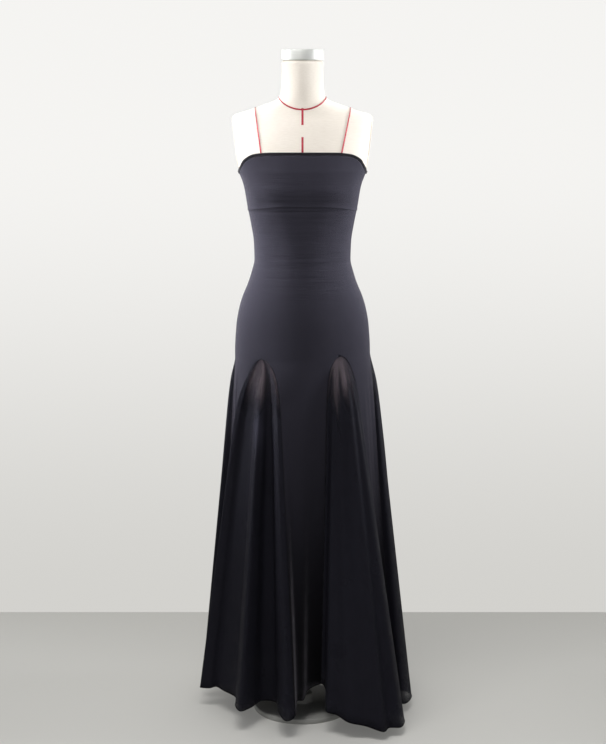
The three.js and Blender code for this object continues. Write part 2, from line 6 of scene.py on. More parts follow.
import bpy
import numpy as np
from mathutils import Vector
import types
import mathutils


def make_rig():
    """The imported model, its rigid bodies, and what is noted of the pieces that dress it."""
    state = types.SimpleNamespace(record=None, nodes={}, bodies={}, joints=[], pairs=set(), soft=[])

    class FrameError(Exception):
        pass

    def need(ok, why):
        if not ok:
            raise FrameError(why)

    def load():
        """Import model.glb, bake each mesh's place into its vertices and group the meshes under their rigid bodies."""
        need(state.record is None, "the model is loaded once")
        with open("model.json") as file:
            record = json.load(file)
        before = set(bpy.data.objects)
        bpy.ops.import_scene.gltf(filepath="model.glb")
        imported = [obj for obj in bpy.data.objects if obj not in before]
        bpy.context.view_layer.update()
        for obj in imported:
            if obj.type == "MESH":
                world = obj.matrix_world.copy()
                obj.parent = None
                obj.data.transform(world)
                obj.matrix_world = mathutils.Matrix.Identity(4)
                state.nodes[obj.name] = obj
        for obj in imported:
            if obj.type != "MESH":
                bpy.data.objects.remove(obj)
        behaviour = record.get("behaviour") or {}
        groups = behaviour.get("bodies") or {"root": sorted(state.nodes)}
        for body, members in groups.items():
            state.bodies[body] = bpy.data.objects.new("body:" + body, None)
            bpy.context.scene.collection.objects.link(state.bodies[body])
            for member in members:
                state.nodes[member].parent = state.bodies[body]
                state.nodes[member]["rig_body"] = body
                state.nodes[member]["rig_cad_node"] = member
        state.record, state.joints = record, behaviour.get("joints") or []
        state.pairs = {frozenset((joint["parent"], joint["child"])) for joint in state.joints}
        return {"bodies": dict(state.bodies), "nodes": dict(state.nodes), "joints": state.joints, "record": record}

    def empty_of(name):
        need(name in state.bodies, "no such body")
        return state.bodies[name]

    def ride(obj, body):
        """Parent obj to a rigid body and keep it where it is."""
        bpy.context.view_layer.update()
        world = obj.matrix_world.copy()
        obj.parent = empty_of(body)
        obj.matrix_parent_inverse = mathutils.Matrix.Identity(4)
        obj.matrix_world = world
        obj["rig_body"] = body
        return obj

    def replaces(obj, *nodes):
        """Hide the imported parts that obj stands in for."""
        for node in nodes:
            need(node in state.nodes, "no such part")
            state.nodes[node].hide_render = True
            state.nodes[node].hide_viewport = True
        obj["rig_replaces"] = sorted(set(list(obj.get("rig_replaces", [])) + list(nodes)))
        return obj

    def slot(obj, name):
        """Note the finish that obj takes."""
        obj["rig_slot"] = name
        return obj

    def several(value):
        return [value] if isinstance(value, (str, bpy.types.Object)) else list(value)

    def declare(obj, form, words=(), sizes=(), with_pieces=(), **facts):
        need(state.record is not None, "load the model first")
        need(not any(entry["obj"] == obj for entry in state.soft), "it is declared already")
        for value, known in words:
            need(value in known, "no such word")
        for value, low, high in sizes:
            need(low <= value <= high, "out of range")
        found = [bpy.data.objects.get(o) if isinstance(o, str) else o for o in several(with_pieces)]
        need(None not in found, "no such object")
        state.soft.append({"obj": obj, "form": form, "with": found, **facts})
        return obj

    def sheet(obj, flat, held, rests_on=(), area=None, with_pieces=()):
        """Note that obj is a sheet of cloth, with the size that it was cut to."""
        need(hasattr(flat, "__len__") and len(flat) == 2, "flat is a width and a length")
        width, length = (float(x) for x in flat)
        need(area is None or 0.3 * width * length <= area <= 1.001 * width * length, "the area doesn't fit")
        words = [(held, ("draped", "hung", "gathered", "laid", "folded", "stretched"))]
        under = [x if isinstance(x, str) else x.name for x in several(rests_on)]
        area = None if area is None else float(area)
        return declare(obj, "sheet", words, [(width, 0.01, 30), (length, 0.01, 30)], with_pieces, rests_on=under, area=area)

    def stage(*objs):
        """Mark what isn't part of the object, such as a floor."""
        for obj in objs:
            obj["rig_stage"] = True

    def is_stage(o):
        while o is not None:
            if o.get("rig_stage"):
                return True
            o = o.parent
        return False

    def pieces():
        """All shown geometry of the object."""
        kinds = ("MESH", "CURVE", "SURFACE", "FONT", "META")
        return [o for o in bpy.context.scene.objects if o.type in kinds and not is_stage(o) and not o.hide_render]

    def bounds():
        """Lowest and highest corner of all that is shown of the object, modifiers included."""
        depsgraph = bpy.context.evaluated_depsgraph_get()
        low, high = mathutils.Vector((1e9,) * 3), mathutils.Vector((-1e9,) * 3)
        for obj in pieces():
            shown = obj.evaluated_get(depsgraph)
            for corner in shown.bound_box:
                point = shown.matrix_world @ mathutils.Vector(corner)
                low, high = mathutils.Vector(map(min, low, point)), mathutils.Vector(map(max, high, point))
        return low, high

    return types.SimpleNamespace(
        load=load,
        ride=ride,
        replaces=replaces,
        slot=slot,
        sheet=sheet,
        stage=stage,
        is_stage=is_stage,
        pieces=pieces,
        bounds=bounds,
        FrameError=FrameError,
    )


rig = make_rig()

MM = 0.001

# Cloth
JERSEY = 1.4
NET = 0.5
BAND_HEIGHT = 7.0
KNOB_OUT = 2.4
KNOB_TURN = 2.2
BAND_OUT = 1.5
BAND_IN = 0.7
SEAM_GAP = 0.3
FORM_INSET = 1.7
SEAM_RADIUS = 0.95
CORD_SIDES = 8
BUST_SEAM_OUT = 0.4
NET_HEM_RADIUS = 1.2
JERSEY_HEM_RADIUS = 1.5
LIP_OUT = 1.3
LIP_HEIGHT = 5.0
BAND_COLUMNS = 180
BAND_SIDES = 28
BAND_SQUARENESS = 0.45
BAND_WAVES = ((0.25, 17, 0), (0.15, 41, 30))
HEM_INSET = 0.004

# Skirt
SKIRT_DROP = 905.0
ARCH_DROP = 38.0
EARLY_FLARE = 0.085
EARLY_DROP = 55.0
BELLY_DROP = 85.0
TOP_ROUNDING = 14.0
NET_START = 0.5
SKIRT_ROWS = 84
DROP_POWER = 2.2
COLUMNS_A_ROW = 8
STRIP_COLUMNS = 44
UPPER_ROWS = 84
UPPER_CROWDING = 1.4
BUST_COLUMNS = 120
BUST_ROWS = 72
BUST_CROWDING = 1.3
FOLD_RISE = 5.0
FOLD_FALL = 2.5
SEAM_FADE = 0.06

# Dress form and stand
FORM_BOTTOM = 805.0
NECK_TOP = 1705.0
FORM_COLUMNS = 160
FORM_ROWS = 150
PLATE_LOW = (161.0, 1430.0)
PLATE_HIGH = (178.0, 1568.0)
PLATE_THICKNESS = 3.0
PLATE_MARGIN = 10.0
TAPE_WIDTH = 5.4
TAPE_THICKNESS = 0.5
TAPE_SQUARENESS = 0.5
TAPE_SIDES = 16
FORM_RIM = 2.0
LATHE_SIDES = 96

# Outer surface of the cloth at each height: half width, depth before and behind the axis,
# and how square the oval is in front and behind, where 2 is an ellipse.
TORSO_COLUMNS = ("z", "half", "front", "back", "square_front", "square_back")
TORSO_ROWS = (
    (800, 168, 104, 112, 2, 2), (870, 172, 110, 121, 2, 2),
    (965, 173.5, 112, 124, 2, 2), (1036, 169.5, 112, 123, 2.05, 2),
    (1082, 161.5, 109, 116, 2.1, 2), (1113, 152, 105, 107, 2.1, 2.05),
    (1144, 139, 101, 98, 2.1, 2.1), (1175, 129, 97, 90, 2.1, 2.1),
    (1206, 122, 94, 85, 2.1, 2.1), (1252, 123.5, 95, 86, 2.1, 2.15),
    (1298, 130.5, 101, 92, 2.2, 2.2), (1344, 139.5, 112, 98, 2.4, 2.25),
    (1390, 147, 125, 103, 2.6, 2.3), (1430, 161, 122, 105, 2.6, 2.3),
    (1445, 168, 119, 105, 2.5, 2.3), (1480, 183, 109, 104, 2.4, 2.3),
    (1535, 189, 83, 97, 2.3, 2.3), (1558, 184, 69, 88, 2.2, 2.2),
    (1568, 179, 62, 82, 2.1, 2.1), (1582, 138, 56, 75, 2, 2),
    (1597, 96, 52.5, 67, 2, 2), (1609, 66, 51, 61, 2, 2),
    (1622, 57, 51, 57, 2, 2), (1645, 54.5, 52, 54.5, 2, 2),
    (1710, 53, 53, 53, 2, 2),
)

# Height of the top edge and of the under-bust seam by the turn from the centre front.
EDGE_COLUMNS = ("turn", "top", "under_bust")
EDGE_ROWS = (
    (0, 1481, 1347), (22, 1480.5, 1346),
    (36, 1477, 1343), (50, 1465, 1339),
    (64, 1447, 1335.5), (78, 1435, 1333),
    (90, 1430, 1332), (120, 1428, 1332),
    (180, 1432, 1334),
)

# Godets: turn of the centre line, half the turn that it opens to, and the height of its top.
GODETS = {
    "godet_side_left": (-90.0, 13.0, 957.0),
    "godet_front_left": (-36.5, 14.5, 961.0),
    "godet_front_right": (34.0, 12.0, 969.0),
    "godet_side_right": (90.0, 13.0, 970.0),
    "godet_back_right": (144.5, 14.0, 966.0),
    "godet_back_left": (215.5, 14.0, 962.0),
}

# Jersey strips between the godets, each with its neighbours in the order of rising turn.
STRIPS = {
    "front_strip_left": ("godet_side_left", "godet_front_left"),
    "front_strip_centre": ("godet_front_left", "godet_front_right"),
    "front_strip_right": ("godet_front_right", "godet_side_right"),
    "back_strip_right": ("godet_side_right", "godet_back_right"),
    "back_strip_centre": ("godet_back_right", "godet_back_left"),
    "back_strip_left": ("godet_back_left", "godet_side_left"),
}

# The hem of each panel seen from above, in the order of rising turn, with its height and how far the
# cloth stands out above it.
HEM_COLUMNS = ("x", "y", "z", "belly")
HEM_ROWS = {
    "godet_side_left": (
        (-226, 118, 58, 0), (-256, 142, 57, 0), (-270, 112, 57, 0), (-222, 93, 58, 0),
        (-216, 73, 58, 0), (-264, 74, 57, 0), (-268, 47, 56, 0),
    ),
    "front_strip_left": (
        (-222, 46, 57, 0), (-198, 28, 58, 0),
    ),
    "godet_front_left": (
        (-216, 10, 57, 0), (-250, 15, 56, 10), (-275, -2, 54, 17), (-250, -14, 56, 14),
        (-230, -14, 60, 10), (-209, -44, 60, 4), (-176, -92, 61, 0), (-174, -150, 60, 0),
        (-159, -186, 60, 0), (-132, -158, 60, 0), (-107, -114, 60, 0), (-70, -124, 60, 0),
        (-61, -190, 58, 0), (-42, -231, 52, 0),
    ),
    "front_strip_centre": (
        (-19, -214, 58, 0), (-15, -180, 84, 0), (2, -158, 80, 0), (14, -132, 97, 0),
    ),
    "godet_front_right": (
        (48, -111, 105, 0), (60, -126, 96, 0), (60, -162, 76, 0), (62, -194, 62, 0),
        (88, -206, 58, 0), (118, -226, 46, 0), (162, -226, 36, 0), (205, -238, 26, 0),
        (222, -212, 26, 0), (252, -206, 25, 0), (264, -165, 25, 0), (256, -130, 27, 0),
        (232, -112, 28, 0),
    ),
    "front_strip_right": (
        (218, -88, 29, 0), (220, -56, 30, 0),
    ),
    "godet_side_right": (
        (242, -38, 30, 0), (269, -50, 26, 0), (288, -18, 25, 0), (292, 25, 25, 0),
        (262, 55, 27, 0), (252, 88, 28, 0), (280, 112, 26, 0), (264, 148, 28, 0),
        (234, 146, 30, 0),
    ),
    "back_strip_right": (
        (224, 122, 32, 0), (206, 152, 34, 0),
    ),
    "godet_back_right": (
        (190, 180, 36, 0), (205, 218, 34, 0), (178, 242, 36, 0), (150, 208, 40, 0),
        (137, 258, 40, 0), (108, 270, 42, 0), (90, 228, 46, 0), (70, 262, 46, 0),
    ),
    "back_strip_centre": (
        (46, 226, 52, 0), (20, 214, 57, 0), (-4, 220, 59, 0), (-28, 212, 60, 0),
    ),
    "godet_back_left": (
        (-53, 224, 58, 0), (-78, 262, 54, 0), (-98, 226, 54, 0), (-120, 266, 52, 0),
        (-148, 258, 52, 0), (-158, 212, 54, 0), (-188, 234, 54, 0), (-212, 208, 55, 0),
    ),
    "back_strip_left": (
        (-192, 176, 57, 0), (-206, 144, 58, 0),
    ),
}

# Drops over which each godet's net thickens from the single open layer at its top.
THICKENING = {
    "godet_side_left": (20, 150),
    "godet_front_left": (38, 148),
    "godet_front_right": (25, 150),
    "godet_side_right": (20, 150),
    "godet_back_right": (35, 142),
    "godet_back_left": (35, 142),
}

# Spots where the net looks thinner or has a painted highlight, such as one layer in front of the floor: place and size
# are a share of the panel's width and a drop, and the last column is the part of light painted onto the net's colour.
SPOT_COLUMNS = ("part", "drop", "width", "length", "amount", "painted_light")
SPOT_ROWS = {
    "godet_front_left": (
        (0.58, 176, 0.090, 50, 0.0, 1.3),
        (0.93, 892, 0.08, 24, 0.75, 0.6),
        (0.55, 900, 0.12, 12, 0.45, 0.3),
    ),
    "godet_front_right": (
        (0.16, 893, 0.14, 14, 0.60, 0.5),
        (0.80, 888, 0.10, 26, 0.95, 0.8),
    ),
    "godet_side_right": (
        (0.20, 880, 0.12, 26, 0.70, 0.5),
    ),
    "godet_back_left": (
        (0.50, 895, 0.12, 16, 0.45, 0.3),
    ),
    "godet_back_right": (
        (0.40, 895, 0.12, 16, 0.45, 0.3),
    ),
}

# Long soft folds in a hanging panel. Start and end are shares of its width at the upper and the lower
# drop, width is a share too, height is in millimetres, and veil is how much denser the net looks there.
FOLD_COLUMNS = ("start", "end", "upper", "lower", "width", "height", "veil")
FOLD_ROWS = {
    "godet_front_left": (
        (0.03, 0.08, -80, 420, 0.150, 0.0, 0.60), (0.24, 0.17, 14, 330, 0.030, 1.9, 0.14),
        (0.33, 0.28, 8, 260, 0.026, -1.1, -0.05), (0.50, 0.46, 6, 210, 0.024, 1.3, 0.08),
        (0.50, 0.47, 30, 178, 0.090, 0.0, -0.25), (0.57, 0.55, 10, 300, 0.024, -1.4, 0.06),
        (0.70, 0.67, 12, 420, 0.060, 2.6, 0.10), (0.77, 0.70, -80, 300, 0.090, 0.0, 0.55),
        (0.83, 0.84, 40, 250, 0.016, 1.4, -0.30), (0.90, 0.90, 20, 360, 0.050, -1.2, 0.36),
    ),
    "godet_front_right": (
        (0.08, 0.10, 8, 260, 0.070, 0.8, 0.34), (0.23, 0.40, 34, 230, 0.030, 2.0, -0.60),
        (0.38, 0.48, 12, 260, 0.040, -1.5, 0.40), (0.62, 0.60, 4, 70, 0.120, 0.8, -0.10),
        (0.72, 0.74, 24, 360, 0.030, -1.3, 0.20), (0.86, 0.86, 14, 300, 0.050, 1.7, 0.28),
    ),
    "godet_side_left": (
        (0.30, 0.26, 12, 280, 0.045, 1.8, 0.10), (0.56, 0.60, 8, 230, 0.038, -1.2, -0.08),
        (0.76, 0.72, 24, 420, 0.034, 1.6, 0.12),
    ),
    "godet_side_right": (
        (0.26, 0.30, 14, 360, 0.038, 1.7, 0.12), (0.48, 0.44, 8, 240, 0.034, -1.3, -0.08),
        (0.72, 0.78, 20, 300, 0.044, 1.5, 0.10),
    ),
    "godet_back_right": (
        (0.25, 0.20, 12, 310, 0.036, 1.6, 0.12), (0.46, 0.50, 6, 200, 0.050, -1.1, -0.12),
        (0.70, 0.66, 22, 400, 0.032, 1.9, 0.14),
    ),
    "godet_back_left": (
        (0.32, 0.36, 10, 260, 0.034, 1.7, 0.12), (0.54, 0.50, 5, 180, 0.060, -0.9, -0.12),
        (0.78, 0.82, 26, 380, 0.030, 1.5, 0.14),
    ),
    "front_strip_left": (
        (0.22, 0.30, 10, 460, 0.070, 1.2, 0.0), (0.68, 0.60, 70, 620, 0.090, -1.5, 0.0),
    ),
    "front_strip_centre": (
        (0.14, 0.20, 120, 760, 0.090, -0.9, 0.0), (0.46, 0.40, 210, 905, 0.160, 0.7, 0.0),
        (0.84, 0.78, 90, 640, 0.090, -0.9, 0.0),
    ),
    "front_strip_right": (
        (0.34, 0.42, 60, 520, 0.110, 0.8, 0.0), (0.74, 0.70, 20, 380, 0.090, -0.6, 0.0),
    ),
    "back_strip_right": (
        (0.40, 0.34, 80, 600, 0.090, 1.6, 0.0),
    ),
    "back_strip_centre": (
        (0.30, 0.36, 40, 520, 0.080, -1.5, 0.0), (0.72, 0.66, 130, 780, 0.070, 1.4, 0.0),
    ),
    "back_strip_left": (
        (0.58, 0.64, 60, 560, 0.090, -1.4, 0.0),
    ),
}

# Soft creases in the jersey on the body: middle turn and height, half length in degrees, half width in
# millimetres, millimetres risen for each degree, and height, where a trough is below zero.
CREASE_COLUMNS = ("turn", "z", "length", "width", "rise", "height")
CREASE_ROWS = (
    (-12, 1216, 42, 2.6, 0.02, -1.6), (14, 1209, 30, 3.2, -0.03, 1.0),
    (-4, 1334, 46, 3.0, 0.035, -1.3), (22, 1338, 24, 2.2, -0.05, 0.35),
    (-52, 1329, 18, 2.6, 0.16, -0.45), (55, 1327, 20, 2.8, -0.14, -0.5),
    (-63, 1226, 17, 4.2, -0.22, -0.7), (-54, 1214, 15, 3.6, 0.12, 0.55),
    (-70, 1203, 14, 4.4, 0.20, -0.6), (-30, 1219, 20, 3.4, -0.05, -0.35),
    (64, 1230, 16, 4.6, 0.26, -0.75), (56, 1216, 18, 3.8, -0.10, 0.5),
    (72, 1204, 12, 4.0, -0.24, -0.65), (26, 1209, 22, 3.2, 0.06, -0.3),
    (66, 1246, 14, 3.2, 0.30, -0.4), (-60, 1248, 16, 3.4, -0.18, -0.35),
    (40, 1262, 12, 5.0, 0.55, 0.4), (-22, 1292, 20, 4.6, 0.12, 0.3),
    (78, 1150, 10, 6.0, 0.6, -0.4), (-80, 1142, 10, 6.5, -0.5, -0.4),
    (118, 1228, 18, 4.4, -0.20, -0.7), (108, 1212, 16, 3.8, 0.16, 0.5),
    (150, 1218, 24, 4.0, 0.05, -0.55), (186, 1207, 26, 4.6, -0.04, -0.6),
    (210, 1222, 20, 3.8, 0.10, 0.45), (244, 1212, 18, 4.2, -0.16, -0.65),
    (236, 1232, 16, 3.6, 0.20, -0.45), (180, 1321, 40, 3.0, 0.0, -0.6),
    (160, 1262, 16, 5.5, 0.45, 0.4), (205, 1266, 14, 5.0, -0.4, 0.35),
)

# Creases in the bust panels, in the same columns.
BUST_CREASE_ROWS = (
    (-82, 1412, 12, 3.4, 0.75, -0.5), (-74, 1392, 14, 4.0, 0.55, 0.4),
    (80, 1408, 12, 3.6, -0.7, -0.5), (72, 1386, 14, 4.2, -0.5, 0.35),
    (-30, 1358, 22, 4.4, 0.10, -0.35), (34, 1357, 20, 4.0, -0.12, -0.35),
    (4, 1364, 16, 5.0, 0.0, 0.25), (100, 1402, 14, 3.8, 0.5, -0.45),
    (140, 1390, 24, 4.6, 0.08, -0.4), (200, 1398, 26, 4.2, -0.06, -0.45),
    (248, 1400, 16, 3.8, -0.5, -0.45), (176, 1352, 34, 3.6, 0.0, -0.3),
)

# Ribbons down the middle of the form: turn, and the heights of both ends. In front they leave a gap.
STRAIGHT_TAPES = {
    "tape_centre_front_upper": (0, 1588, 1547),
    "tape_centre_front_lower": (0, 1518, 1476),
    "tape_centre_back": (180, 1606, 1428),
}

# Ribbons over the shoulders: x and z of the front end, x at the shoulder's ridge, x and z of the back end.
SHOULDER_TAPES = {
    "tape_princess_left": (-102.4, 1474, -119.5, -84.0, 1428),
    "tape_princess_right": (96.9, 1476, 121.5, 84, 1428),
}
NECK_TAPE_HALF = 60.0
NECK_TAPE_FRONT = 1584.0
NECK_TAPE_SIDE = 1614.0
NECK_TAPE_BACK = 1606.0

# Camera and stage
CAMERA_PLACE = (0.0013, -4.1, 1.645)
CAMERA_TILT = 79.87
CAMERA_LENS = 77.76
WALL_PLACE = 0.78
STAGE_HALF = 5.0

# Section of an arm plate: share of its outline, and depth from its face.
PLATE_SECTION = (
    (0, -3.0), (0.35, -3.0), (0.65, -3.0), (0.85, -3.0), (0.97, -3.0), (0.99, -2.4), (0.99, -0.9),
    (0.97, -0.2), (0.85, 0), (0.65, 0), (0.35, 0), (0, 0),
)

# Profiles of the turned pieces: radius and height.
CAP_PROFILE = (
    (0, 1705.3), (50.4, 1705.3), (52.2, 1705.7), (53.0, 1706.5), (53.2, 1708.0), (53.2, 1729.4),
    (53.0, 1730.8), (52.3, 1731.8), (51.0, 1732.4), (49.5, 1732.6), (30.0, 1732.6), (0, 1732.6),
)
POLE_PROFILE = (
    (0, 40.3), (14.2, 40.3), (15.0, 41.1), (15.0, 798.0), (16.5, 798.7), (43.8, 798.7),
    (45.0, 799.9), (45.0, 803.5), (43.8, 804.7), (0, 804.7),
)
BASE_PROFILE = (
    (0, 0), (128.8, 0), (130.0, 1.2), (130.0, 10.6), (129.6, 12.2), (128.6, 13.4), (127.0, 14.0),
    (30.0, 14.0), (27.2, 14.8), (26.0, 17.0), (26.0, 38.0), (24.6, 40.0), (0, 40.0),
)

# Colours, as linear light
JERSEY_DARK = (0.0342, 0.0326, 0.0462, 1.0)
JERSEY_LIGHT = (0.0456, 0.0435, 0.0593, 1.0)
EDGING_DARK = (0.0150, 0.0145, 0.0180, 1.0)
EDGING_LIGHT = (0.0220, 0.0212, 0.0250, 1.0)
NET_DARK = (0.0124, 0.0122, 0.0178, 1.0)
NET_LIGHT = (0.0174, 0.0170, 0.0246, 1.0)
SHEEN_TINT = (0.84, 0.80, 0.92, 1.0)
LINEN_DARK = (0.82, 0.758, 0.682, 1.0)
LINEN_LIGHT = (0.90, 0.842, 0.770, 1.0)
LINEN_ROSE = (1.0, 0.86, 1.05, 1.0)
ROSE_HEIGHTS = (0.95, 1.2)
TAPE_DARK = (0.36, 0.006, 0.024, 1.0)
TAPE_LIGHT = (0.46, 0.012, 0.038, 1.0)
CAP_DARK = (0.66, 0.67, 0.65, 1.0)
CAP_LIGHT = (0.76, 0.77, 0.75, 1.0)
PAINT = (0.40, 0.40, 0.385, 1.0)
PAINT_SCUFF = (0.34, 0.34, 0.33, 1.0)
FLOOR = (0.60, 0.597, 0.575, 1.0)
WALL = (0.02, 0.02, 0.02, 1.0)
FLOOR_GLOW = (0.120, 0.119, 0.114)
WALL_GLOW_LOW = (0.640, 0.632, 0.605)
WALL_GLOW_HIGH = (0.900, 0.892, 0.872)
GLOW_TOP = 1.5
JERSEY_SHEEN = 0.26
SHEEN_SPREAD = 0.3
CLOTH_GLOSS = 0.05
NET_HAZE = 0.08
HAZE_DRIFT = 0.05
HAZE_LIMITS = (0.02, 0.95)
NET_THICKENING = 0.9
THICKENING_POWER = 2.2
NET_HOLE_LEVEL = -0.54
NET_HOLE_EDGE = 0.25
SKY = (0.97, 0.98, 1.0, 1.0)
SKY_STRENGTH = 0.23

# Bump of the jersey in metres: knit, and the level creases between two heights
KNIT_HEIGHT = 0.00012
DRAG_HEIGHT = 0.0005
DRAG_SCALE = (9.0, 9.0, 75.0)
DRAG_HEIGHTS = (1.06, 1.38)
LOOP_LEAN = 1.6

# Stretch of the noise of the linen's slubs and of the cap's rings, and the radius in metres at which the
# linen's weave is laid flat
SLUB_STRETCH = (1.0, 9.0, 1.0)
SLUB_SCALE = 60.0
SPUN_STRETCH = (6.0, 6.0, 900.0)
LINEN_RADIUS = 0.12

# Painted shade by height: part of the full tone at each height, in metres, darker towards the hem where less light
# falls and a little lighter near the net's top
PAINTED_SHADE_HEIGHTS = (0.10, 0.30, 0.50, 0.72, 0.98, 1.40)
JERSEY_PAINTED_SHADE = (0.08, 0.25, 0.46, 0.60, 0.74, 1.0)
NET_PAINTED_SHADE = (1.0, 1.0, 0.95, 0.92, 1.1, 1.1)

# Lamps: place, aim, size in metres, power, colour and spread in degrees
LAMPS = (
    ("key", (-0.45, -1.05, 2.5), (0.0, 0.0, 1.3), (1.2, 0.7), 17.5, (1.0, 0.985, 0.96), 180),
    ("left", (-1.4, 0.05, 1.6), (0.0, -0.1, 1.15), (0.4, 0.8), 3.6, (0.98, 0.99, 1.0), 36),
    ("right", (1.4, 0.05, 1.6), (0.0, -0.1, 1.22), (0.4, 0.8), 4.0, (0.98, 0.99, 1.0), 52),
    ("floor", (0.1, -0.85, 2.4), (0.1, -0.85, 0.0), (0.9, 0.4), 2.0, (1.0, 0.99, 0.97), 60),
)

# Each sheet's cut: width, length, flat area and how it is held.
CUTS = {
    "bust_front": (0.435, 0.155, 0.0545, "stretched"),
    "bust_back": (0.400, 0.105, 0.0371, "stretched"),
    "body_front": (0.610, 1.300, 0.369, "stretched"),
    "body_back": (0.610, 1.300, 0.384, "stretched"),
    "godet_side_left": (0.320, 0.930, 0.147, "hung"),
    "godet_front_left": (0.660, 0.930, 0.310, "hung"),
    "godet_front_right": (0.500, 0.950, 0.236, "hung"),
    "godet_side_right": (0.370, 0.950, 0.180, "hung"),
    "godet_back_right": (0.390, 0.940, 0.191, "hung"),
    "godet_back_left": (0.370, 0.930, 0.182, "hung"),
}


def columns_of(names, rows):
    """The columns of a table as a dictionary of arrays by name."""
    return {name: np.array([row[i] for row in rows]) for i, name in enumerate(names)}


def panel_columns(names, table):
    """The columns of the rows of all panels, and a column with the panel of each row."""
    rows = [(panel, *row) for panel, cells in table.items() for row in cells]
    return columns_of(("panel", *names), rows)


TORSO = columns_of(TORSO_COLUMNS, TORSO_ROWS)
EDGES = columns_of(EDGE_COLUMNS, EDGE_ROWS)
HEM = panel_columns(HEM_COLUMNS, HEM_ROWS)
FOLDS = panel_columns(FOLD_COLUMNS, FOLD_ROWS)
SPOTS = panel_columns(SPOT_COLUMNS, SPOT_ROWS)
CREASES = columns_of(CREASE_COLUMNS, CREASE_ROWS)
BUST_CREASES = columns_of(CREASE_COLUMNS, BUST_CREASE_ROWS)


def mix(start, end, part):
    """The value at a part of the way from start to end."""
    return start + (end - start) * part


def unit(vectors):
    """Vectors of length one in the same directions."""
    return vectors / np.maximum(np.linalg.norm(vectors, axis=-1, keepdims=True), 1e-9)


def bent(value, power):
    """The size of a value to a power, with its sign kept."""
    return np.sign(value) * np.abs(value) ** power


def smooth(value):
    """3t^2 - 2t^3 of the value held between 0 and 1."""
    t = np.clip(value, 0, 1)
    return t * t * (3 - 2 * t)


def along(keys, values, place):
    """Cubic curve through a table that never overshoots: the tangent at a row is the harmonic mean of the
    slopes on its two sides, and zero where they differ in sign."""
    slopes = np.diff(values) / np.diff(keys)
    before, after = slopes[:-1], slopes[1:]
    rising = before * after > 0
    total = np.where(rising, before + after, 1)
    inner = np.where(rising, 2 * before * after / total, 0)
    tangents = np.concatenate([slopes[:1], inner, slopes[-1:]])
    at = np.clip(place, keys[0], keys[-1])
    i = np.clip(np.searchsorted(keys, at) - 1, 0, len(keys) - 2)
    span = keys[i + 1] - keys[i]
    t = (at - keys[i]) / span
    return (
        (2 * t**3 - 3 * t**2 + 1) * values[i]
        + (t**3 - 2 * t**2 + t) * span * tangents[i]
        + (3 * t**2 - 2 * t**3) * values[i + 1]
        + (t**3 - t**2) * span * tangents[i + 1]
    )


def torso(name, z):
    """The torso table's value at a height."""
    return along(TORSO["z"], TORSO[name], z)


def oval(z, turn, grow=0.0):
    """Point on the torso at a height and a turn from the centre front: x is the half width times the sine
    to the power two over squareness, y the depth before or behind times the cosine to that power."""
    z, turn = np.broadcast_arrays(np.asarray(z, float), np.asarray(turn, float))
    side, face = np.sin(np.radians(turn)), np.cos(np.radians(turn))
    ahead = face > 0
    at = {name: torso(name, z) for name in TORSO_COLUMNS[1:]}
    power = 2 / np.where(ahead, at["square_front"], at["square_back"])
    depth = np.where(ahead, at["front"], at["back"]) + grow
    return np.stack([(at["half"] + grow) * bent(side, power), -depth * bent(face, power), z], -1)


def edge_height(name, turn):
    """Height of the top edge or the under-bust seam, alike on both sides of the centre front."""
    folded = np.abs((np.asarray(turn, float) + 180) % 360 - 180)
    return along(EDGES["turn"], EDGES[name], folded)


def hem_point(panel, part):
    """Point and belly of the closed Catmull-Rom curve through the rows of the hem table, at a share of the
    panel's width. A panel starts at its first row and ends at the next panel's first row."""
    rows = np.flatnonzero(HEM["panel"] == panel)
    u = rows[0] + np.asarray(part, float) * len(rows)
    i = np.floor(u).astype(int)
    t = u - i
    p, q, r, s = ((i + k) % len(HEM["panel"]) for k in (-1, 0, 1, 2))

    def curve(name):
        a, b, c, d = (HEM[name][k] for k in (p, q, r, s))
        square, cube = 2 * a - 5 * b + 4 * c - d, 3 * b - a - 3 * c + d
        return 0.5 * (2 * b + (c - a) * t + square * t**2 + cube * t**3)

    return np.stack([curve("x"), curve("y"), curve("z")], -1), curve("belly")


def hangs_from(panel, part, drop):
    """Turn and top height that a share of a panel's width hangs from. A godet opens to both sides of its
    centre by the arch, the root of one less a falling exponential, and a strip fills what is left."""
    arch = np.sqrt(1 - np.exp(-drop / ARCH_DROP))
    if panel in GODETS:
        centre, opening, apex = GODETS[panel]
        return centre + (2 * part - 1) * opening * arch, apex + 0 * part
    before, after = (GODETS[name] for name in STRIPS[panel])
    start = before[0] + before[1] * arch
    end = after[0] + (360 if after[0] < before[0] else 0) - after[1] * arch
    return mix(start, end, part), mix(before[2], after[2], part)


def skirt(panel, part, drop):
    """Point of the skirt at a share of the panel's width and a drop below its top: from the hip oval out
    to the hem, most of the way steadily after a rounded start and a little at once by a falling
    exponential, with the belly standing out between."""
    part, drop = np.broadcast_arrays(np.asarray(part, float), np.asarray(drop, float))
    turn, apex = hangs_from(panel, part, drop)
    hem, belly = hem_point(panel, part)
    share = drop / SKIRT_DROP
    steady = share * (1 - np.exp(-drop / TOP_ROUNDING))
    flare = (1 - EARLY_FLARE) * steady + EARLY_FLARE * (1 - np.exp(-((drop / EARLY_DROP) ** 1.5)))
    hip = oval(apex, turn)
    stand = belly * (1 - np.exp(-((drop / BELLY_DROP) ** 2))) * (1 - share)
    point = mix(hip, hem, flare[..., None]) + unit(hip * (1, 1, 0)) * stand[..., None]
    point[..., 2] = mix(apex, hem[..., 2], share)
    return point


def outward(points):
    """Unit directions square to a grid: down the rows crossed with along the columns."""
    down = np.gradient(points, axis=0)
    across = np.gradient(points, axis=1)
    return unit(np.cross(down, across))


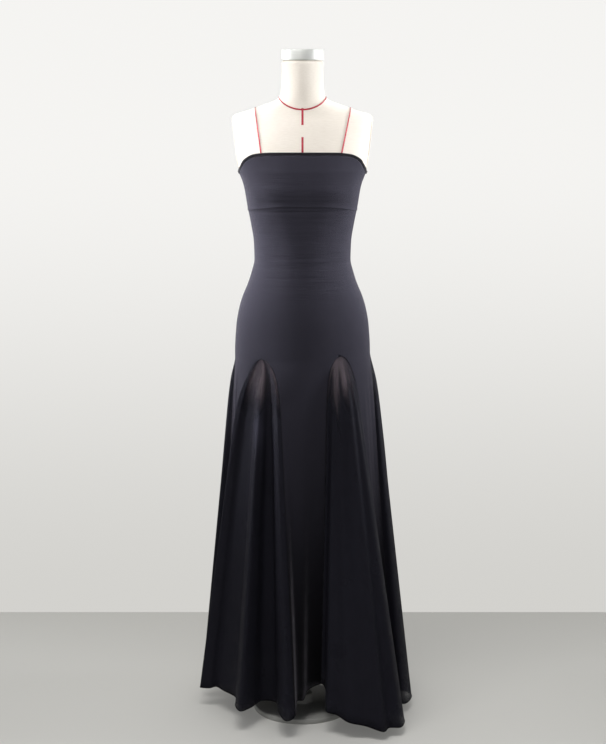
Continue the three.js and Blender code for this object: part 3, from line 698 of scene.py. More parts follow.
def creased(points, turn, table):
    """Moves a grid along its outward directions by a sum of bells: the height times the exponential of
    minus the squared distance along the crease and of minus the squared distance across it."""
    shift = np.zeros(points.shape[:2])
    for k in range(len(table["turn"])):
        ahead = (turn - table["turn"][k] + 180) % 360 - 180
        across = points[..., 2] - table["z"][k] - table["rise"][k] * ahead
        bell = np.exp(-((ahead / table["length"][k]) ** 2) - (across / table["width"][k]) ** 2)
        shift += table["height"][k] * bell
    return points + outward(points) * shift[..., None]


def fold_sums(panel, part, drop):
    """Sums over the panel's rows in the fold table of height and of veil, each times a bell across the
    fold and a smooth rise and fall along it. They fade out at the panel's side seams."""
    height = np.zeros(part.shape)
    veil = np.zeros(part.shape)
    for k in np.flatnonzero(FOLDS["panel"] == panel):
        upper, lower = FOLDS["upper"][k], FOLDS["lower"][k]
        share = np.clip((drop - upper) / (lower - upper), 0, 1)
        middle = mix(FOLDS["start"][k], FOLDS["end"][k], share)
        bell = np.exp(-(((part - middle) / FOLDS["width"][k]) ** 2))
        bell *= smooth(share * FOLD_RISE) * smooth((1 - share) * FOLD_FALL)
        height += FOLDS["height"][k] * bell
        veil += FOLDS["veil"][k] * bell
    seam = smooth(np.minimum(part, 1 - part) / SEAM_FADE)
    return height * seam, veil


def spot_sums(panel, part, drop):
    """How much thinner the net looks and how much painted light its colour gets: round spots summed over the panel's
    rows.
    """
    thin = np.zeros(part.shape)
    painted_light = np.zeros(part.shape)
    for k in np.flatnonzero(SPOTS["panel"] == panel):
        across = (part - SPOTS["part"][k]) / SPOTS["width"][k]
        down = (drop - SPOTS["drop"][k]) / SPOTS["length"][k]
        spot = np.exp(-(across**2) - down**2)
        thin += SPOTS["amount"][k] * spot
        painted_light += SPOTS["painted_light"][k] * spot
    return thin, painted_light


def drops(first):
    """Rows of a hanging panel, crowded towards its top: the drop times the row's share to a power."""
    share = np.linspace(0, 1, SKIRT_ROWS)
    return mix(first, SKIRT_DROP, share**DROP_POWER)


def trimmed(points):
    """Draws the two side columns of a grid in by half the seam gap."""
    points = points.copy()
    for edge, inner in ((0, 1), (-1, -2)):
        points[:, edge] += unit(points[:, inner] - points[:, edge]) * SEAM_GAP / 2
    return points


def cloth_plan(points):
    """Flat place of each point of a hanging grid, in metres: along its row from the middle column, and
    down the middle column."""
    steps = np.linalg.norm(np.diff(points, axis=1), axis=-1)
    run = np.concatenate([np.zeros((len(points), 1)), np.cumsum(steps, axis=1)], axis=1)
    run -= run[:, run.shape[1] // 2][:, None]
    spine = points[:, points.shape[1] // 2]
    fall = np.concatenate([[0], np.cumsum(np.linalg.norm(np.diff(spine, axis=0), axis=-1))])
    return np.stack([run, -fall[:, None] + 0 * run], -1) * MM


def grid_faces(index):
    """Four-sided faces between neighbours of a grid of point numbers, facing outwards."""
    corners = (index[:-1, :-1], index[1:, :-1], index[1:, 1:], index[:-1, 1:])
    return np.stack([corner.ravel() for corner in corners], -1)


def added(name, data):
    """A new object in the scene."""
    piece = bpy.data.objects.new(name, data)
    bpy.context.collection.objects.link(piece)
    return piece


def build(name, points, faces, plan=None, values=None):
    """A smooth mesh from points in millimetres and four-sided faces. A face whose corners repeat becomes a
    triangle. Plan is a flat place for each point, and each of values is one amount for each."""
    used, numbers = np.unique(faces, return_inverse=True)
    faces, points = numbers.reshape(faces.shape), points[used]
    polygons = [tuple(dict.fromkeys(face)) for face in faces.tolist()]
    polygons = [face for face in polygons if len(face) > 2]
    mesh = bpy.data.meshes.new(name)
    mesh.from_pydata((points * MM).tolist(), [], polygons)
    mesh.polygons.foreach_set("use_smooth", np.ones(len(polygons), bool))
    if plan is not None:
        corners = np.empty(len(mesh.loops), np.int32)
        mesh.loops.foreach_get("vertex_index", corners)
        layer = mesh.uv_layers.new(name="cloth")
        layer.data.foreach_set("uv", plan[used][corners].astype(np.float32).ravel())
    for key, amounts in (values or {}).items():
        attribute = mesh.attributes.new(key, "FLOAT", "POINT")
        attribute.data.foreach_set("value", amounts.ravel()[used].astype(np.float32))
    mesh.update()
    return added(name, mesh)


def finish_piece(piece, material, slot, nodes=()):
    """Gives a piece its material and slot, and names the solids that it stands for."""
    piece.data.materials.append(material)
    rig.ride(piece, "root")
    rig.slot(piece, slot)
    if nodes:
        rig.replaces(piece, *nodes)
    return piece


def cloth_sheet(name, kind, points, faces, plan, material, values=None):
    """A sheet of jersey or net in place of its solid, with its wall half to each side."""
    piece = build(f"{name}_{kind}", points.reshape(-1, 3), faces, plan.reshape(-1, 2), values)
    wall = piece.modifiers.new("wall", "SOLIDIFY")
    wall.thickness = (NET if kind == "net" else JERSEY) * MM
    wall.offset = 0
    wall.use_rim = True
    return finish_piece(piece, material, kind, [name])


def capped(rings, first, last):
    """Rings with one point before the first ring and one after the last, each as a ring of no size."""
    shape = (1, *rings.shape[1:])
    return np.concatenate([np.broadcast_to(first, shape), rings, np.broadcast_to(last, shape)])


def cord(name, path, radius, material, slot="jersey"):
    """A round cord along a path: each ring is the radius times the cosine along the direction away from
    the axis and the sine along the direction square to it and to the path."""
    ahead = unit(np.gradient(path, axis=0))
    across = unit(np.cross(ahead, path * (1, 1, 0)))
    out = np.cross(across, ahead)
    turn = np.linspace(0, 2 * np.pi, CORD_SIDES, endpoint=False)[:, None]
    rings = path[:, None] + radius * (out[:, None] * np.cos(turn) + across[:, None] * np.sin(turn))
    return finish_piece(ring_solid(name, capped(rings, path[0], path[-1])), material, slot)


def ring_solid(name, rings):
    """A closed solid through rings of points whose first and last rings are each one point."""
    count, sides = rings.shape[:2]
    index = np.arange(count * sides).reshape(count, sides)
    index[0] = index[0, 0]
    index[-1] = index[-1, 0]
    index = np.concatenate([index, index[:, :1]], axis=1)
    piece = build(name, rings.reshape(-1, 3), grid_faces(index))
    face_out(piece)
    return piece


def face_out(piece):
    """Turns the faces of a closed solid outwards when its volume comes out below zero."""
    mesh = piece.data
    mesh.calc_loop_triangles()
    corners = np.empty(len(mesh.loop_triangles) * 3, np.int32)
    mesh.loop_triangles.foreach_get("vertices", corners)
    places = np.empty(len(mesh.vertices) * 3)
    mesh.vertices.foreach_get("co", places)
    a, b, c = places.reshape(-1, 3)[corners.reshape(-1, 3)].transpose(1, 0, 2)
    if np.einsum("ij,ij->i", a, np.cross(b, c)).sum() < 0:
        mesh.flip_normals()


def lathe(name, profile):
    """A solid of revolution about the pole's axis: each ring is the profile's radius times the cosine and
    the sine of the turn, at the profile's height."""
    profile = np.array(profile, float)
    turn = np.linspace(0, 2 * np.pi, LATHE_SIDES, endpoint=False)
    radius, z = profile[:, :1], profile[:, 1:]
    rings = np.stack([radius * np.cos(turn), radius * np.sin(turn), z + 0 * turn], -1)
    return ring_solid(name, rings)


def godet(name, material):
    """A net godet: the skirt's surface between its two seams, moved out by its folds."""
    count = len(HEM_ROWS[name]) * COLUMNS_A_ROW
    part, drop = np.meshgrid(np.linspace(0, 1, count + 1), drops(NET_START))
    points = skirt(name, part, drop)
    height, veil = fold_sums(name, part, drop)
    upper, lower = THICKENING[name]
    veil += NET_THICKENING * np.clip((drop - upper) / (lower - upper), 0, 1) ** THICKENING_POWER
    thin, painted_light = spot_sums(name, part, drop)
    # painted light: the spots' added light rides to the net's colour as a point amount
    values = {"veil": veil - thin, "painted_light": 1 + painted_light}
    points = trimmed(points + outward(points) * height[..., None])
    faces = grid_faces(np.arange(part.size).reshape(part.shape))
    return cloth_sheet(name, "net", points, faces, cloth_plan(points), material, values)


def body(name, strips, material):
    """A jersey body panel: the torso's oval from the under-bust seam down to the godet tops, and the
    skirt's surface in three strips below them. Neighbouring strips share their column above the slit."""
    points, plans, indices = [], [], []
    count = 0
    share = np.linspace(0, 1, UPPER_ROWS)[:, None]
    for strip in strips:
        part, drop = np.meshgrid(np.linspace(0, 1, STRIP_COLUMNS + 1), drops(0.0))
        turn, apex = hangs_from(strip, part[:1], drop[:1])
        z = mix(edge_height("under_bust", turn) - SEAM_GAP / 2, apex, share**UPPER_CROWDING)
        turn = turn + 0 * z
        upper = creased(oval(z, turn), turn, CREASES)
        part, drop = part[1:], drop[1:]
        lower = skirt(strip, part, drop)
        height, _ = fold_sums(strip, part, drop)
        lower = trimmed(lower + outward(lower) * height[..., None])
        grid = np.concatenate([upper, lower])
        index = count + np.arange(grid[..., 0].size).reshape(grid.shape[:2])
        count += index.size
        if indices:
            index[:UPPER_ROWS, 0] = indices[-1][:UPPER_ROWS, -1]
        points.append(grid.reshape(-1, 3))
        plans.append(cloth_plan(grid).reshape(-1, 2))
        indices.append(index)
    faces = np.concatenate([grid_faces(index) for index in indices])
    return cloth_sheet(name, "jersey", np.concatenate(points), faces, np.concatenate(plans), material)


def bust(name, start, material):
    """A bust panel: the torso's oval between the band and the under-bust seam, with a lip that stands out
    over the seam by a bell."""
    turn, share = np.meshgrid(start + np.linspace(0, 180, BUST_COLUMNS + 1), np.linspace(0, 1, BUST_ROWS))
    high = edge_height("top", turn) - BAND_HEIGHT - SEAM_GAP
    low = edge_height("under_bust", turn) + SEAM_GAP / 2
    z = mix(high, low, 1 - (1 - share) ** BUST_CROWDING)
    points = creased(oval(z, turn), turn, BUST_CREASES)
    lip = LIP_OUT * np.exp(-(((z - low) / LIP_HEIGHT) ** 2))
    points = trimmed(points + outward(points) * lip[..., None])
    faces = grid_faces(np.arange(turn.size).reshape(turn.shape))
    return cloth_sheet(name, "jersey", points, faces, cloth_plan(points), material)


def band(name, start, material):
    """The folded band: its section is a rounded slab, the half height times the sine to a power and the
    half thickness times the cosine to that power, and it waves a little as sewn elastic does. Its ends
    swell outwards, a bell across the turn, where the side seams' edges are folded in."""
    turn = start + np.linspace(0, 180, BAND_COLUMNS + 1)
    across = np.linspace(0, 2 * np.pi, BAND_SIDES, endpoint=False)
    middle = edge_height("top", turn) - BAND_HEIGHT / 2
    wave = sum(size * np.sin(np.radians(turn * pace + lead)) for size, pace, lead in BAND_WAVES)
    rise = BAND_HEIGHT / 2 * bent(np.sin(across), BAND_SQUARENESS)
    out = (BAND_OUT - BAND_IN) / 2 + (BAND_OUT + BAND_IN) / 2 * bent(np.cos(across), BAND_SQUARENESS)
    knob = KNOB_OUT * np.exp(-(((90 - np.abs(turn - start - 90)) / KNOB_TURN) ** 2))
    grow = out + (wave + knob)[:, None] * (out > 0)
    rings = oval(middle[:, None] + rise, turn[:, None] + 0 * rise, grow)
    rings = capped(rings, rings[0].mean(axis=0), rings[-1].mean(axis=0))
    return finish_piece(ring_solid(name + "_fold", rings), material, "band", [name])


def godet_seam(name, material):
    """The sewn seam of a godet: a cord up one side from the hem, over the arch and down the other."""
    fall = drops(0.0)
    up = skirt(name, 0 * fall, fall)[::-1]
    down = skirt(name, 1 + 0 * fall, fall)[1:]
    return cord("seam_" + name, np.concatenate([up, down]), SEAM_RADIUS, material)


def bust_seam(name, start, material):
    """Half of the seam under the bust: a cord along the oval from one side seam to the other."""
    turn = start + np.linspace(0, 180, BUST_COLUMNS + 1)
    return cord(name, oval(edge_height("under_bust", turn), turn, BUST_SEAM_OUT), SEAM_RADIUS, material)


def side_seam(name, turn, side_godet, material):
    """A side seam: a cord down the oval from the band to the top of the side godet."""
    z = np.linspace(float(edge_height("top", turn)) - BAND_HEIGHT, GODETS[side_godet][2], 120)
    return cord(name, oval(z, turn + 0 * z), SEAM_RADIUS, material)


def hem_roll(panel, radius, material, slot):
    """The rolled hem of a panel: a cord along the foot of the skirt's surface."""
    part = np.linspace(HEM_INSET, 1 - HEM_INSET, len(HEM_ROWS[panel]) * COLUMNS_A_ROW + 1)
    return cord("hem_" + panel, skirt(panel, part, SKIRT_DROP + 0 * part), radius, material, slot)


def plate_plane(z):
    """Half width of the armhole's plane at a height."""
    return mix(PLATE_LOW[0], PLATE_HIGH[0], (z - PLATE_LOW[1]) / (PLATE_HIGH[1] - PLATE_LOW[1]))


def form_body(material):
    """The form's cover: the torso's oval, drawn in under the cloth and cut flat at the armholes, with a
    rounded rim at its foot and its neck."""
    turn = np.linspace(0, 360, FORM_COLUMNS, endpoint=False)
    z = np.linspace(FORM_BOTTOM, NECK_TOP, FORM_ROWS)
    rings = oval(z[:, None], turn[None] + 0 * z[:, None], -FORM_INSET)
    limit = plate_plane(z)[:, None] - PLATE_THICKNESS - SEAM_GAP
    inside = (z > PLATE_LOW[1] - PLATE_MARGIN) & (z < PLATE_HIGH[1] + PLATE_MARGIN)
    limit = np.where(inside[:, None], limit, 1000.0)
    rings[..., 0] = np.clip(rings[..., 0], -limit, limit)
    near = np.minimum(z - FORM_BOTTOM, NECK_TOP - z)[:, None]
    short = FORM_RIM - np.clip(near, 0, FORM_RIM)
    pull = FORM_RIM - np.sqrt(np.maximum(FORM_RIM**2 - short**2, 0))
    rings[..., :2] -= unit(rings[..., :2]) * pull[..., None]
    rings = capped(rings, (0, 0, FORM_BOTTOM), (0, 0, NECK_TOP))
    return finish_piece(ring_solid("form_cover", rings), material, "linen", ["form_body"])


def arm_plate(name, side, node, material):
    """An armhole's plate: the outline where the torso's oval meets the plane, filled by rings that shrink
    to its middle, with a rounded rim."""
    z = np.linspace(PLATE_LOW[1], PLATE_HIGH[1], 400)
    wide = torso("half", z) - FORM_INSET
    held = z[wide > plate_plane(z)]
    z = mix(held[0], held[-1], (1 - np.cos(np.linspace(0, np.pi, 40))) / 2)
    wide = torso("half", z) - FORM_INSET
    reach = np.clip(plate_plane(z) / wide, 0, 1)
    outline = []
    for end, square, way in (("front", "square_front", -1), ("back", "square_back", 1)):
        power = 2 / torso(square, z)
        face = np.sqrt(np.maximum(1 - reach ** (2 / power), 0))
        outline.append(way * (torso(end, z) - FORM_INSET) * face**power)
    y = np.concatenate([outline[0], outline[1][-2:0:-1]])
    z = np.concatenate([z, z[-2:0:-1]])
    middle_y, middle_z = y.mean(), z.mean()
    share, depth = np.array(PLATE_SECTION).T[..., None]
    ring_y = middle_y + (y - middle_y) * share
    ring_z = middle_z + (z - middle_z) * share
    ring_x = side * (plate_plane(ring_z) + depth)
    piece = ring_solid(name, np.stack([ring_x, ring_y, ring_z], -1))
    return finish_piece(piece, material, "linen", [node])


def ribbon(name, turn, z, material, closed=False):
    """A ribbon laid on the form: its section is a flat rounded slab that follows the surface, along a
    curve through the turns and heights."""
    middle = oval(z, turn, -FORM_INSET)
    ahead = np.gradient(middle, axis=0)
    if closed:
        ahead = np.roll(middle, -1, axis=0) - np.roll(middle, 1, axis=0)
    ahead = unit(ahead)
    across = unit(np.cross(ahead, oval(z, turn, 10 - FORM_INSET) - middle))
    out = np.cross(across, ahead)
    angle = np.linspace(0, 2 * np.pi, TAPE_SIDES, endpoint=False)[:, None]
    wide = TAPE_WIDTH / 2 * bent(np.cos(angle), TAPE_SQUARENESS)
    high = TAPE_THICKNESS * bent(np.sin(angle), TAPE_SQUARENESS)
    rings = middle[:, None] + across[:, None] * wide + out[:, None] * high
    if closed:
        index = np.arange(rings[..., 0].size).reshape(rings.shape[:2])
        index = np.concatenate([index, index[:1]])
        index = np.concatenate([index, index[:, :1]], axis=1)
        piece = build(name, rings.reshape(-1, 3), grid_faces(index))
        face_out(piece)
    else:
        piece = ring_solid(name, capped(rings, middle[0], middle[-1]))
    return finish_piece(piece, material, "linen")


def turn_at(x, z, ahead):
    """Turn at which the form is x wide at a height, before the axis or behind it."""
    half = torso("half", z) - FORM_INSET
    square = torso("square_front" if ahead else "square_back", z)
    turn = np.degrees(np.arcsin(np.clip(np.abs(x) / half, 0, 1) ** (square / 2)))
    return (turn if ahead else 180 - turn) * np.sign(x)


def ring_tape(name, material):
    """The ribbon round the foot of the neck, lower in front and behind than at the sides: its width from
    the axis is the neck tape's half times the sine of the way round."""
    way = np.linspace(-90, 270, 161)[:-1]
    face = np.cos(np.radians(way))
    x = NECK_TAPE_HALF * np.sin(np.radians(way))
    z = mix(NECK_TAPE_SIDE, np.where(face > 0, NECK_TAPE_FRONT, NECK_TAPE_BACK), np.abs(face) ** 1.4)
    turn = np.where(face > 0, turn_at(x, z, True), turn_at(x, z, False))
    return ribbon(name, turn, z, material, closed=True)


def shoulder_tape(name, front, ridge, back, material):
    """A ribbon over the shoulder: its width from the axis changes steadily with height on each side."""
    heights = np.linspace(PLATE_HIGH[1], NECK_TAPE_SIDE, 200)
    halves = torso("half", heights) - FORM_INSET
    top = np.interp(-abs(ridge), -halves, heights)
    share = np.linspace(0, 1, 60)
    turns, zs = [], []
    for (x, z), ahead in ((front, True), (back, False)):
        height = top - (top - z) * (1 - share) ** 2
        wide = mix(x, ridge, (height - z) / (top - z))
        turns.append(turn_at(wide, height, ahead))
        zs.append(height)
    turn = np.concatenate([turns[0], turns[1][-2::-1]])
    return ribbon(name, turn, np.concatenate([zs[0], zs[1][-2::-1]]), material)


class Shader:
    """Short ways to add and join the nodes of a material or a node group."""

    def __init__(self, tree):
        self.tree = tree

    def node(self, kind, inputs=None, **settings):
        node = self.tree.nodes.new(kind)
        for key, value in settings.items():
            setattr(node, key, value)
        for key, value in (inputs or {}).items():
            self.feed(node.inputs[key], value)
        return node

    def feed(self, socket, value):
        if isinstance(value, bpy.types.NodeSocket):
            self.tree.links.new(value, socket)
        else:
            socket.default_value = value

    def surface(self, looks):
        """Feeds the sockets of the material's surface by name."""
        for key, value in looks.items():
            self.feed(self.tree.nodes["Principled BSDF"].inputs[key], value)

    def place(self):
        return self.node("ShaderNodeTexCoord").outputs["Object"]

    def cloth(self):
        return self.node("ShaderNodeUVMap", uv_map="cloth").outputs[0]

    def amount(self, name):
        return self.node("ShaderNodeAttribute", attribute_name=name).outputs["Fac"]

    def group(self, tree, inputs):
        return self.node("ShaderNodeGroup", inputs, node_tree=tree).outputs

    def split(self, vector):
        return self.node("ShaderNodeSeparateXYZ", {0: vector}).outputs

    def scaled(self, vector, factors):
        return self.node("ShaderNodeVectorMath", {0: vector, 1: factors}, operation="MULTIPLY").outputs[0]

    def lifted(self, colour, amount):
        return self.node("ShaderNodeVectorMath", {0: colour, "Scale": amount}, operation="SCALE").outputs[0]

    def math(self, operation, a, b=0.0, c=0.0):
        return self.node("ShaderNodeMath", {0: a, 1: b, 2: c}, operation=operation).outputs[0]

    def times(self, a, b):
        return self.math("MULTIPLY", a, b)

    def blend(self, share, first, second):
        return self.node("ShaderNodeMix", {0: share, 6: first, 7: second}, data_type="RGBA").outputs[2]

    def bump(self, height, distance):
        inputs = {"Height": height, "Distance": distance, "Strength": 1.0}
        return self.node("ShaderNodeBump", inputs).outputs[0]

    def noise(self, vector, scale, detail=3.0, roughness=0.5):
        inputs = {"Vector": vector, "Scale": scale, "Detail": detail, "Roughness": roughness}
        return self.node("ShaderNodeTexNoise", inputs).outputs["Fac"]

    def ramp(self, value, low, high, start=0.0, end=1.0):
        inputs = {"Value": value, "From Min": low, "From Max": high, "To Min": start, "To Max": end}
        return self.node("ShaderNodeMapRange", inputs, interpolation_type="SMOOTHSTEP").outputs[0]

    def steps(self, value, places, parts):
        """Smooth curve through the parts given at rising places."""
        low, high = places[0], places[-1]
        curve = self.node("ShaderNodeFloatCurve", {"Value": self.ramp(value, low, high)})
        points = curve.mapping.curves[0].points
        points[0].location = (0.0, parts[0])
        points[1].location = (1.0, parts[-1])
        for place, part in zip(places[1:-1], parts[1:-1]):
            points.new((place - low) / (high - low), part)
        curve.mapping.update()
        return curve.outputs[0]


def group_of(name, inputs, outputs):
    """A new shader node group with its inner helper, its input node and its output node. An input without
    a default is a vector, and every other socket is a number."""
    tree = bpy.data.node_groups.new(name, "ShaderNodeTree")
    for label, default in inputs.items():
        kind = "NodeSocketVector" if default is None else "NodeSocketFloat"
        socket = tree.interface.new_socket(label, in_out="INPUT", socket_type=kind)
        if default is not None:
            socket.default_value = default
    for label in outputs:
        tree.interface.new_socket(label, in_out="OUTPUT", socket_type="NodeSocketFloat")
    inner = Shader(tree)
    return tree, inner, inner.node("NodeGroupInput").outputs, inner.node("NodeGroupOutput").inputs


def weave_group():
    """Warp and weft: two crossed waves at the thread spacing, over and under by turns, as a height, with a
    slubby tone from stretched noise."""
    tree, inner, given, out = group_of("weave", {"Vector": None, "Threads": 1000.0}, ("Height", "Tone"))
    split = inner.split(given["Vector"])
    pace = inner.times(given["Threads"], np.pi)
    warp = inner.math("SINE", inner.times(split["X"], pace))
    weft = inner.math("SINE", inner.times(split["Y"], pace))
    inner.feed(out["Height"], inner.math("MULTIPLY_ADD", inner.times(warp, weft), 0.5, 0.5))
    slub = inner.noise(inner.scaled(given["Vector"], SLUB_STRETCH), SLUB_SCALE)
    inner.feed(out["Tone"], inner.ramp(slub, 0.3, 0.7))
    return tree


def knit_group():
    """A fine knit: wales that run down the cloth with their loops, as a height, and a mottled tone."""
    tree, inner, given, out = group_of("knit", {"Vector": None, "Wales": 1400.0}, ("Height", "Tone"))
    split = inner.split(given["Vector"])
    pace = inner.times(given["Wales"], 2 * np.pi)
    across = inner.times(split["X"], pace)
    wale = inner.math("ABSOLUTE", inner.math("SINE", inner.times(across, 0.5)))
    lean = inner.times(wale, LOOP_LEAN)
    loop = inner.math("SINE", inner.math("ADD", inner.times(split["Y"], pace), lean))
    inner.feed(out["Height"], inner.math("MULTIPLY_ADD", loop, 0.3, wale))
    fibre = inner.noise(given["Vector"], 900.0, 2.0)
    cloud = inner.noise(given["Vector"], 16.0, 4.0)
    inner.feed(out["Tone"], inner.math("MULTIPLY_ADD", fibre, 0.35, inner.times(cloud, 0.65)))
    return tree


def net_group():
    """A six-sided net: three waves at sixty degrees add up to a lattice of holes, and what lies under the
    level is thread. Cover is 1 on a thread and the haze of stretched yarn in a hole."""
    inputs = {"Vector": None, "Holes": 1100.0, "Haze": 0.3}
    tree, inner, given, out = group_of("net", inputs, ("Cover", "Height"))
    split = inner.split(given["Vector"])
    pace = inner.times(given["Holes"], 2 * np.pi)
    waves = []
    for turn in (0, 60, 120):
        x, y = float(np.cos(np.radians(turn))), float(np.sin(np.radians(turn)))
        place = inner.math("MULTIPLY_ADD", split["X"], x, inner.times(split["Y"], y))
        waves.append(inner.math("COSINE", inner.times(place, pace)))
    lattice = inner.math("ADD", inner.math("ADD", waves[0], waves[1]), waves[2])
    thread = inner.ramp(lattice, NET_HOLE_LEVEL + NET_HOLE_EDGE, NET_HOLE_LEVEL - NET_HOLE_EDGE)
    inner.feed(out["Height"], thread)
    inner.feed(out["Cover"], inner.math("MAXIMUM", thread, given["Haze"]))
    return tree


def new_material(name):
    """A material with the helper for its node tree."""
    material = bpy.data.materials.new(name)
    material.use_nodes = True
    return material, Shader(material.node_tree)


def painted_shade_tone(shader, tone, dark, light, parts):
    """Colour between two tones, times a painted shade by height that darkens it towards the hem."""
    # painted shade: the colour is scaled by height, darker towards the hem
    painted_light = shader.steps(shader.split(shader.place())["Z"], PAINTED_SHADE_HEIGHTS, parts)
    return shader.lifted(shader.blend(tone, dark, light), painted_light)


def drag_lines(shader):
    """Fine level creases of stretched cloth, strongest round the waist, as a height from 0 to 1."""
    flat = shader.scaled(shader.place(), DRAG_SCALE)
    lines = shader.ramp(shader.noise(flat, 1.0), 0.35, 0.65)
    height = shader.split(shader.place())["Z"]
    low, high = DRAG_HEIGHTS
    inside = shader.times(shader.ramp(height, low, low + 0.1), shader.ramp(height, high + 0.08, high))
    return shader.times(lines, inside)


def jersey_material(name, knit, dark, light):
    """Matt stretch jersey: mottled near-black knit with a soft sheen where it is seen along its face, and painted
    shade that darkens it towards the hem.
    """
    material, shader = new_material(name)
    look = shader.group(knit, {"Vector": shader.cloth() if name == "jersey" else shader.place()})
    drag = shader.times(drag_lines(shader), DRAG_HEIGHT / KNIT_HEIGHT)
    shader.surface({
        "Base Color": painted_shade_tone(shader, look["Tone"], dark, light, JERSEY_PAINTED_SHADE),
        "Roughness": shader.ramp(look["Tone"], 0.2, 0.8, 0.72, 0.88),
        "Specular IOR Level": CLOTH_GLOSS,
        "Sheen Weight": JERSEY_SHEEN,
        "Sheen Roughness": SHEEN_SPREAD,
        "Sheen Tint": SHEEN_TINT,
        "Normal": shader.bump(shader.math("ADD", look["Height"], drag), KNIT_HEIGHT),
    })
    return material


def net_material(net):
    """Sheer net: near-black yarn round open holes, denser where the folds gather it, with painted shade by height and
    painted highlights in spots.
    """
    material, shader = new_material("net")
    drift = shader.noise(shader.place(), 9.0)
    drift = shader.ramp(drift, 0.3, 0.7, NET_HAZE - HAZE_DRIFT, NET_HAZE + HAZE_DRIFT)
    haze = shader.math("ADD", shader.amount("veil"), drift)
    haze = shader.math("MINIMUM", shader.math("MAXIMUM", haze, HAZE_LIMITS[0]), HAZE_LIMITS[1])
    look = shader.group(net, {"Vector": shader.cloth(), "Haze": haze})
    tone = shader.noise(shader.place(), 22.0)
    toned = painted_shade_tone(shader, tone, NET_DARK, NET_LIGHT, NET_PAINTED_SHADE)
    shader.surface({
        # painted highlights from the spots raise the net's colour
        "Base Color": shader.lifted(toned, shader.amount("painted_light")),
        "Roughness": shader.ramp(tone, 0.3, 0.7, 0.55, 0.7),
        "Alpha": look["Cover"],
        "Specular IOR Level": CLOTH_GLOSS,
        "Normal": shader.bump(look["Height"], 0.0001),
    })
    return material


def linen_material(weave):
    """Natural linen: a plain weave with slubs, a shade darker where dust settles along its grain."""
    material, shader = new_material("linen")
    place = shader.place()
    split = shader.split(place)
    turn = shader.times(shader.math("ARCTAN2", split["X"], split["Y"]), LINEN_RADIUS)
    flat = shader.node("ShaderNodeCombineXYZ", {"X": turn, "Y": split["Z"]}).outputs[0]
    look = shader.group(weave, {"Vector": flat, "Threads": 1400.0})
    cloud = shader.ramp(shader.noise(place, 7.0), 0.3, 0.7)
    tone = shader.math("MULTIPLY_ADD", look["Tone"], 0.5, shader.times(cloud, 0.5))
    rose = shader.blend(shader.ramp(split["Z"], *ROSE_HEIGHTS), LINEN_ROSE, (1.0, 1.0, 1.0, 1.0))
    shader.surface({
        "Base Color": shader.scaled(shader.blend(tone, LINEN_DARK, LINEN_LIGHT), rose),
        "Roughness": shader.ramp(look["Tone"], 0.0, 1.0, 0.82, 0.94),
        "Specular IOR Level": 0.2,
        "Normal": shader.bump(look["Height"], 0.00015),
    })
    return material


def tape_material(weave):
    """Red woven ribbon with fine ribs."""
    material, shader = new_material("tape")
    look = shader.group(weave, {"Vector": shader.place(), "Threads": 1800.0})
    shader.surface({
        "Base Color": shader.blend(look["Tone"], TAPE_DARK, TAPE_LIGHT),
        "Roughness": shader.ramp(look["Height"], 0.0, 1.0, 0.5, 0.7),
        "Normal": shader.bump(look["Height"], 0.00012),
    })
    return material


def cap_material():
    """Spun metal: fine rings from the lathe in its roughness and height, and a few soft smudges."""
    material, shader = new_material("cap")
    rings = shader.noise(shader.scaled(shader.place(), SPUN_STRETCH), 1.0, 2.0)
    smudge = shader.noise(shader.place(), 24.0)
    rough = shader.math("MULTIPLY_ADD", rings, 0.2, shader.times(smudge, 0.1))
    shader.surface({
        "Base Color": shader.blend(smudge, CAP_DARK, CAP_LIGHT),
        "Roughness": shader.math("ADD", rough, 0.45),
        "Metallic": 0.75,
        "Normal": shader.bump(rings, 0.00005),
    })
    return material


def paint_material():
    """Pale satin paint on the stand, with faint orange peel and scuffs near the floor."""
    material, shader = new_material("stand")
    scuff = shader.ramp(shader.noise(shader.place(), 70.0, 6.0, 0.7), 0.58, 0.7)
    shader.surface({
        "Base Color": shader.blend(scuff, PAINT, PAINT_SCUFF),
        "Roughness": shader.ramp(scuff, 0.0, 1.0, 0.62, 0.75),
        "Normal": shader.bump(shader.noise(shader.place(), 900.0, 1.0), 0.00004),
    })
    return material


def stage_material(name, colour, low, high):
    """A plain matt surface whose own light changes from low at the floor to high at the top of the view.
    It is clear from behind."""
    material, shader = new_material(name)
    height = shader.ramp(shader.split(shader.place())["Z"], 0.0, GLOW_TOP)
    behind = shader.node("ShaderNodeNewGeometry").outputs["Backfacing"]
    darker = [value * 0.97 for value in colour[:3]] + [1.0]
    shader.surface({
        "Base Color": shader.blend(shader.noise(shader.place(), 1.3), darker, colour),
        "Emission Color": shader.blend(height, [*low, 1.0], [*high, 1.0]),
        "Emission Strength": 1.0,
        "Alpha": shader.math("SUBTRACT", 1.0, behind),
        "Roughness": 0.9,
        "Specular IOR Level": 0.1,
    })
    return material


def stage():
    """A pale floor and the wall behind it, each one plain square."""
    half, back = STAGE_HALF, WALL_PLACE
    floor = [(-half, -half, 0), (half, -half, 0), (half, back, 0), (-half, back, 0)]
    wall = [(half, back, half), (-half, back, half), (-half, back, 0), (half, back, 0)]
    walls = (
        ("stage_floor", floor, FLOOR, FLOOR_GLOW, FLOOR_GLOW),
        ("stage_wall", wall, WALL, WALL_GLOW_LOW, WALL_GLOW_HIGH),
    )
    for name, corners, colour, low, high in walls:
        mesh = bpy.data.meshes.new(name)
        mesh.from_pydata(corners, [], [(0, 1, 2, 3)])
        piece = added(name, mesh)
        piece.data.materials.append(stage_material(name, colour, low, high))
        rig.stage(piece)


def lamp(name, place, aim, size, power, colour, spread):
    """A soft rectangular lamp at a place, turned to shine at another."""
    light = bpy.data.lights.new(name, "AREA")
    light.shape = "RECTANGLE"
    light.size, light.size_y = size
    light.energy = power
    light.color = colour
    light.spread = np.radians(spread)
    holder = added(name, light)
    holder.location = place
    way = Vector(aim) - Vector(place)
    holder.rotation_euler = way.to_track_quat("-Z", "Y").to_euler()


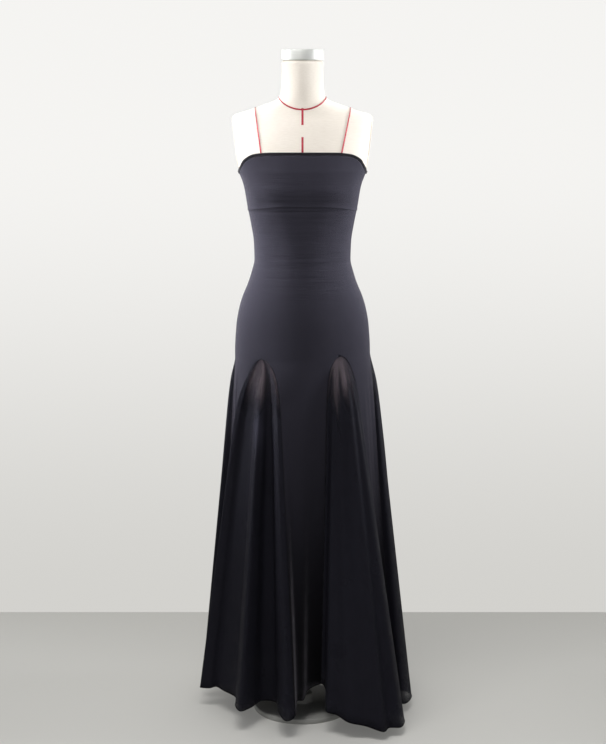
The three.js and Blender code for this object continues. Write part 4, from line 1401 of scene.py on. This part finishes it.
def light_and_camera():
    """The lamps, the sky's even light and the camera of the photo."""
    for row in LAMPS:
        lamp(*row)
    world = bpy.data.worlds.new("studio")
    world.use_nodes = True
    sky = world.node_tree.nodes["Background"]
    sky.inputs["Color"].default_value = SKY
    sky.inputs["Strength"].default_value = SKY_STRENGTH
    scene = bpy.context.scene
    scene.world = world
    scene.view_settings.view_transform = "Standard"
    camera = bpy.data.cameras.new("camera")
    camera.lens = CAMERA_LENS
    holder = added("camera", camera)
    holder.location = CAMERA_PLACE
    holder.rotation_euler = (np.radians(CAMERA_TILT), 0, 0)
    scene.camera = holder


def dress():
    """All the cloth, each sheet declared with the size it is cut to."""
    knit = knit_group()
    jersey = jersey_material("jersey", knit, JERSEY_DARK, JERSEY_LIGHT)
    edging = jersey_material("edging", knit, EDGING_DARK, EDGING_LIGHT)
    net = net_material(net_group())
    sheets = {}
    hems = {}
    for panel in [*GODETS, *STRIPS]:
        netted = panel in GODETS
        radius = NET_HEM_RADIUS if netted else JERSEY_HEM_RADIUS
        hems[panel] = hem_roll(panel, radius, edging, "net" if netted else "jersey")
    for name in GODETS:
        sheets[name] = godet(name, net), [godet_seam(name, edging), hems[name]]
    strips = list(STRIPS)
    for name, own in (("body_front", strips[:3]), ("body_back", strips[3:])):
        sheets[name] = body(name, own, jersey), [hems[strip] for strip in own]
    bands = band("top_band_front", -90, edging), band("top_band_back", 90, edging)
    sheets["bust_front"] = bust("bust_front", -90, jersey), [bands[0]]
    sheets["bust_back"] = bust("bust_back", 90, jersey), [bands[1]]
    bust_seam("seam_bust_front", -90, edging)
    bust_seam("seam_bust_back", 90, edging)
    side_seam("side_seam_left", -90, "godet_side_left", edging)
    side_seam("side_seam_right", 90, "godet_side_right", edging)
    for name, (piece, trimmings) in sheets.items():
        width, length, flat_area, held = CUTS[name]
        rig.sheet(
            piece,
            flat=(width, length),
            held=held,
            rests_on=["form_body"],
            area=flat_area,
            with_pieces=trimmings,
        )


def dress_form():
    """The form, its arm plates, cap, ribbons and stand."""
    weave = weave_group()
    linen = linen_material(weave)
    red = tape_material(weave)
    form_body(linen)
    arm_plate("plate_left", -1, "arm_plate_left", linen)
    arm_plate("plate_right", 1, "arm_plate_right", linen)
    finish_piece(lathe("spun_cap", CAP_PROFILE), cap_material(), "cap", ["neck_cap"])
    paint = paint_material()
    finish_piece(lathe("turned_pole", POLE_PROFILE), paint, "stand", ["stand_pole"])
    finish_piece(lathe("turned_base", BASE_PROFILE), paint, "stand", ["stand_base"])
    ring_tape("tape_neck", red)
    for name, (turn, high, low) in STRAIGHT_TAPES.items():
        z = np.linspace(high, low, 40)
        ribbon(name, turn + 0 * z, z, red)
    for name, (x, z, ridge, back_x, back_z) in SHOULDER_TAPES.items():
        shoulder_tape(name, (x, z), ridge, (back_x, back_z), red)


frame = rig.load()
cad_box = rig.bounds()
dress()
dress_form()
stage()
light_and_camera()
with open("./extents.json", "w") as size_file:
    json.dump({"cad": [list(corner) for corner in cad_box], "visual": [list(corner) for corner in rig.bounds()]}, size_file)
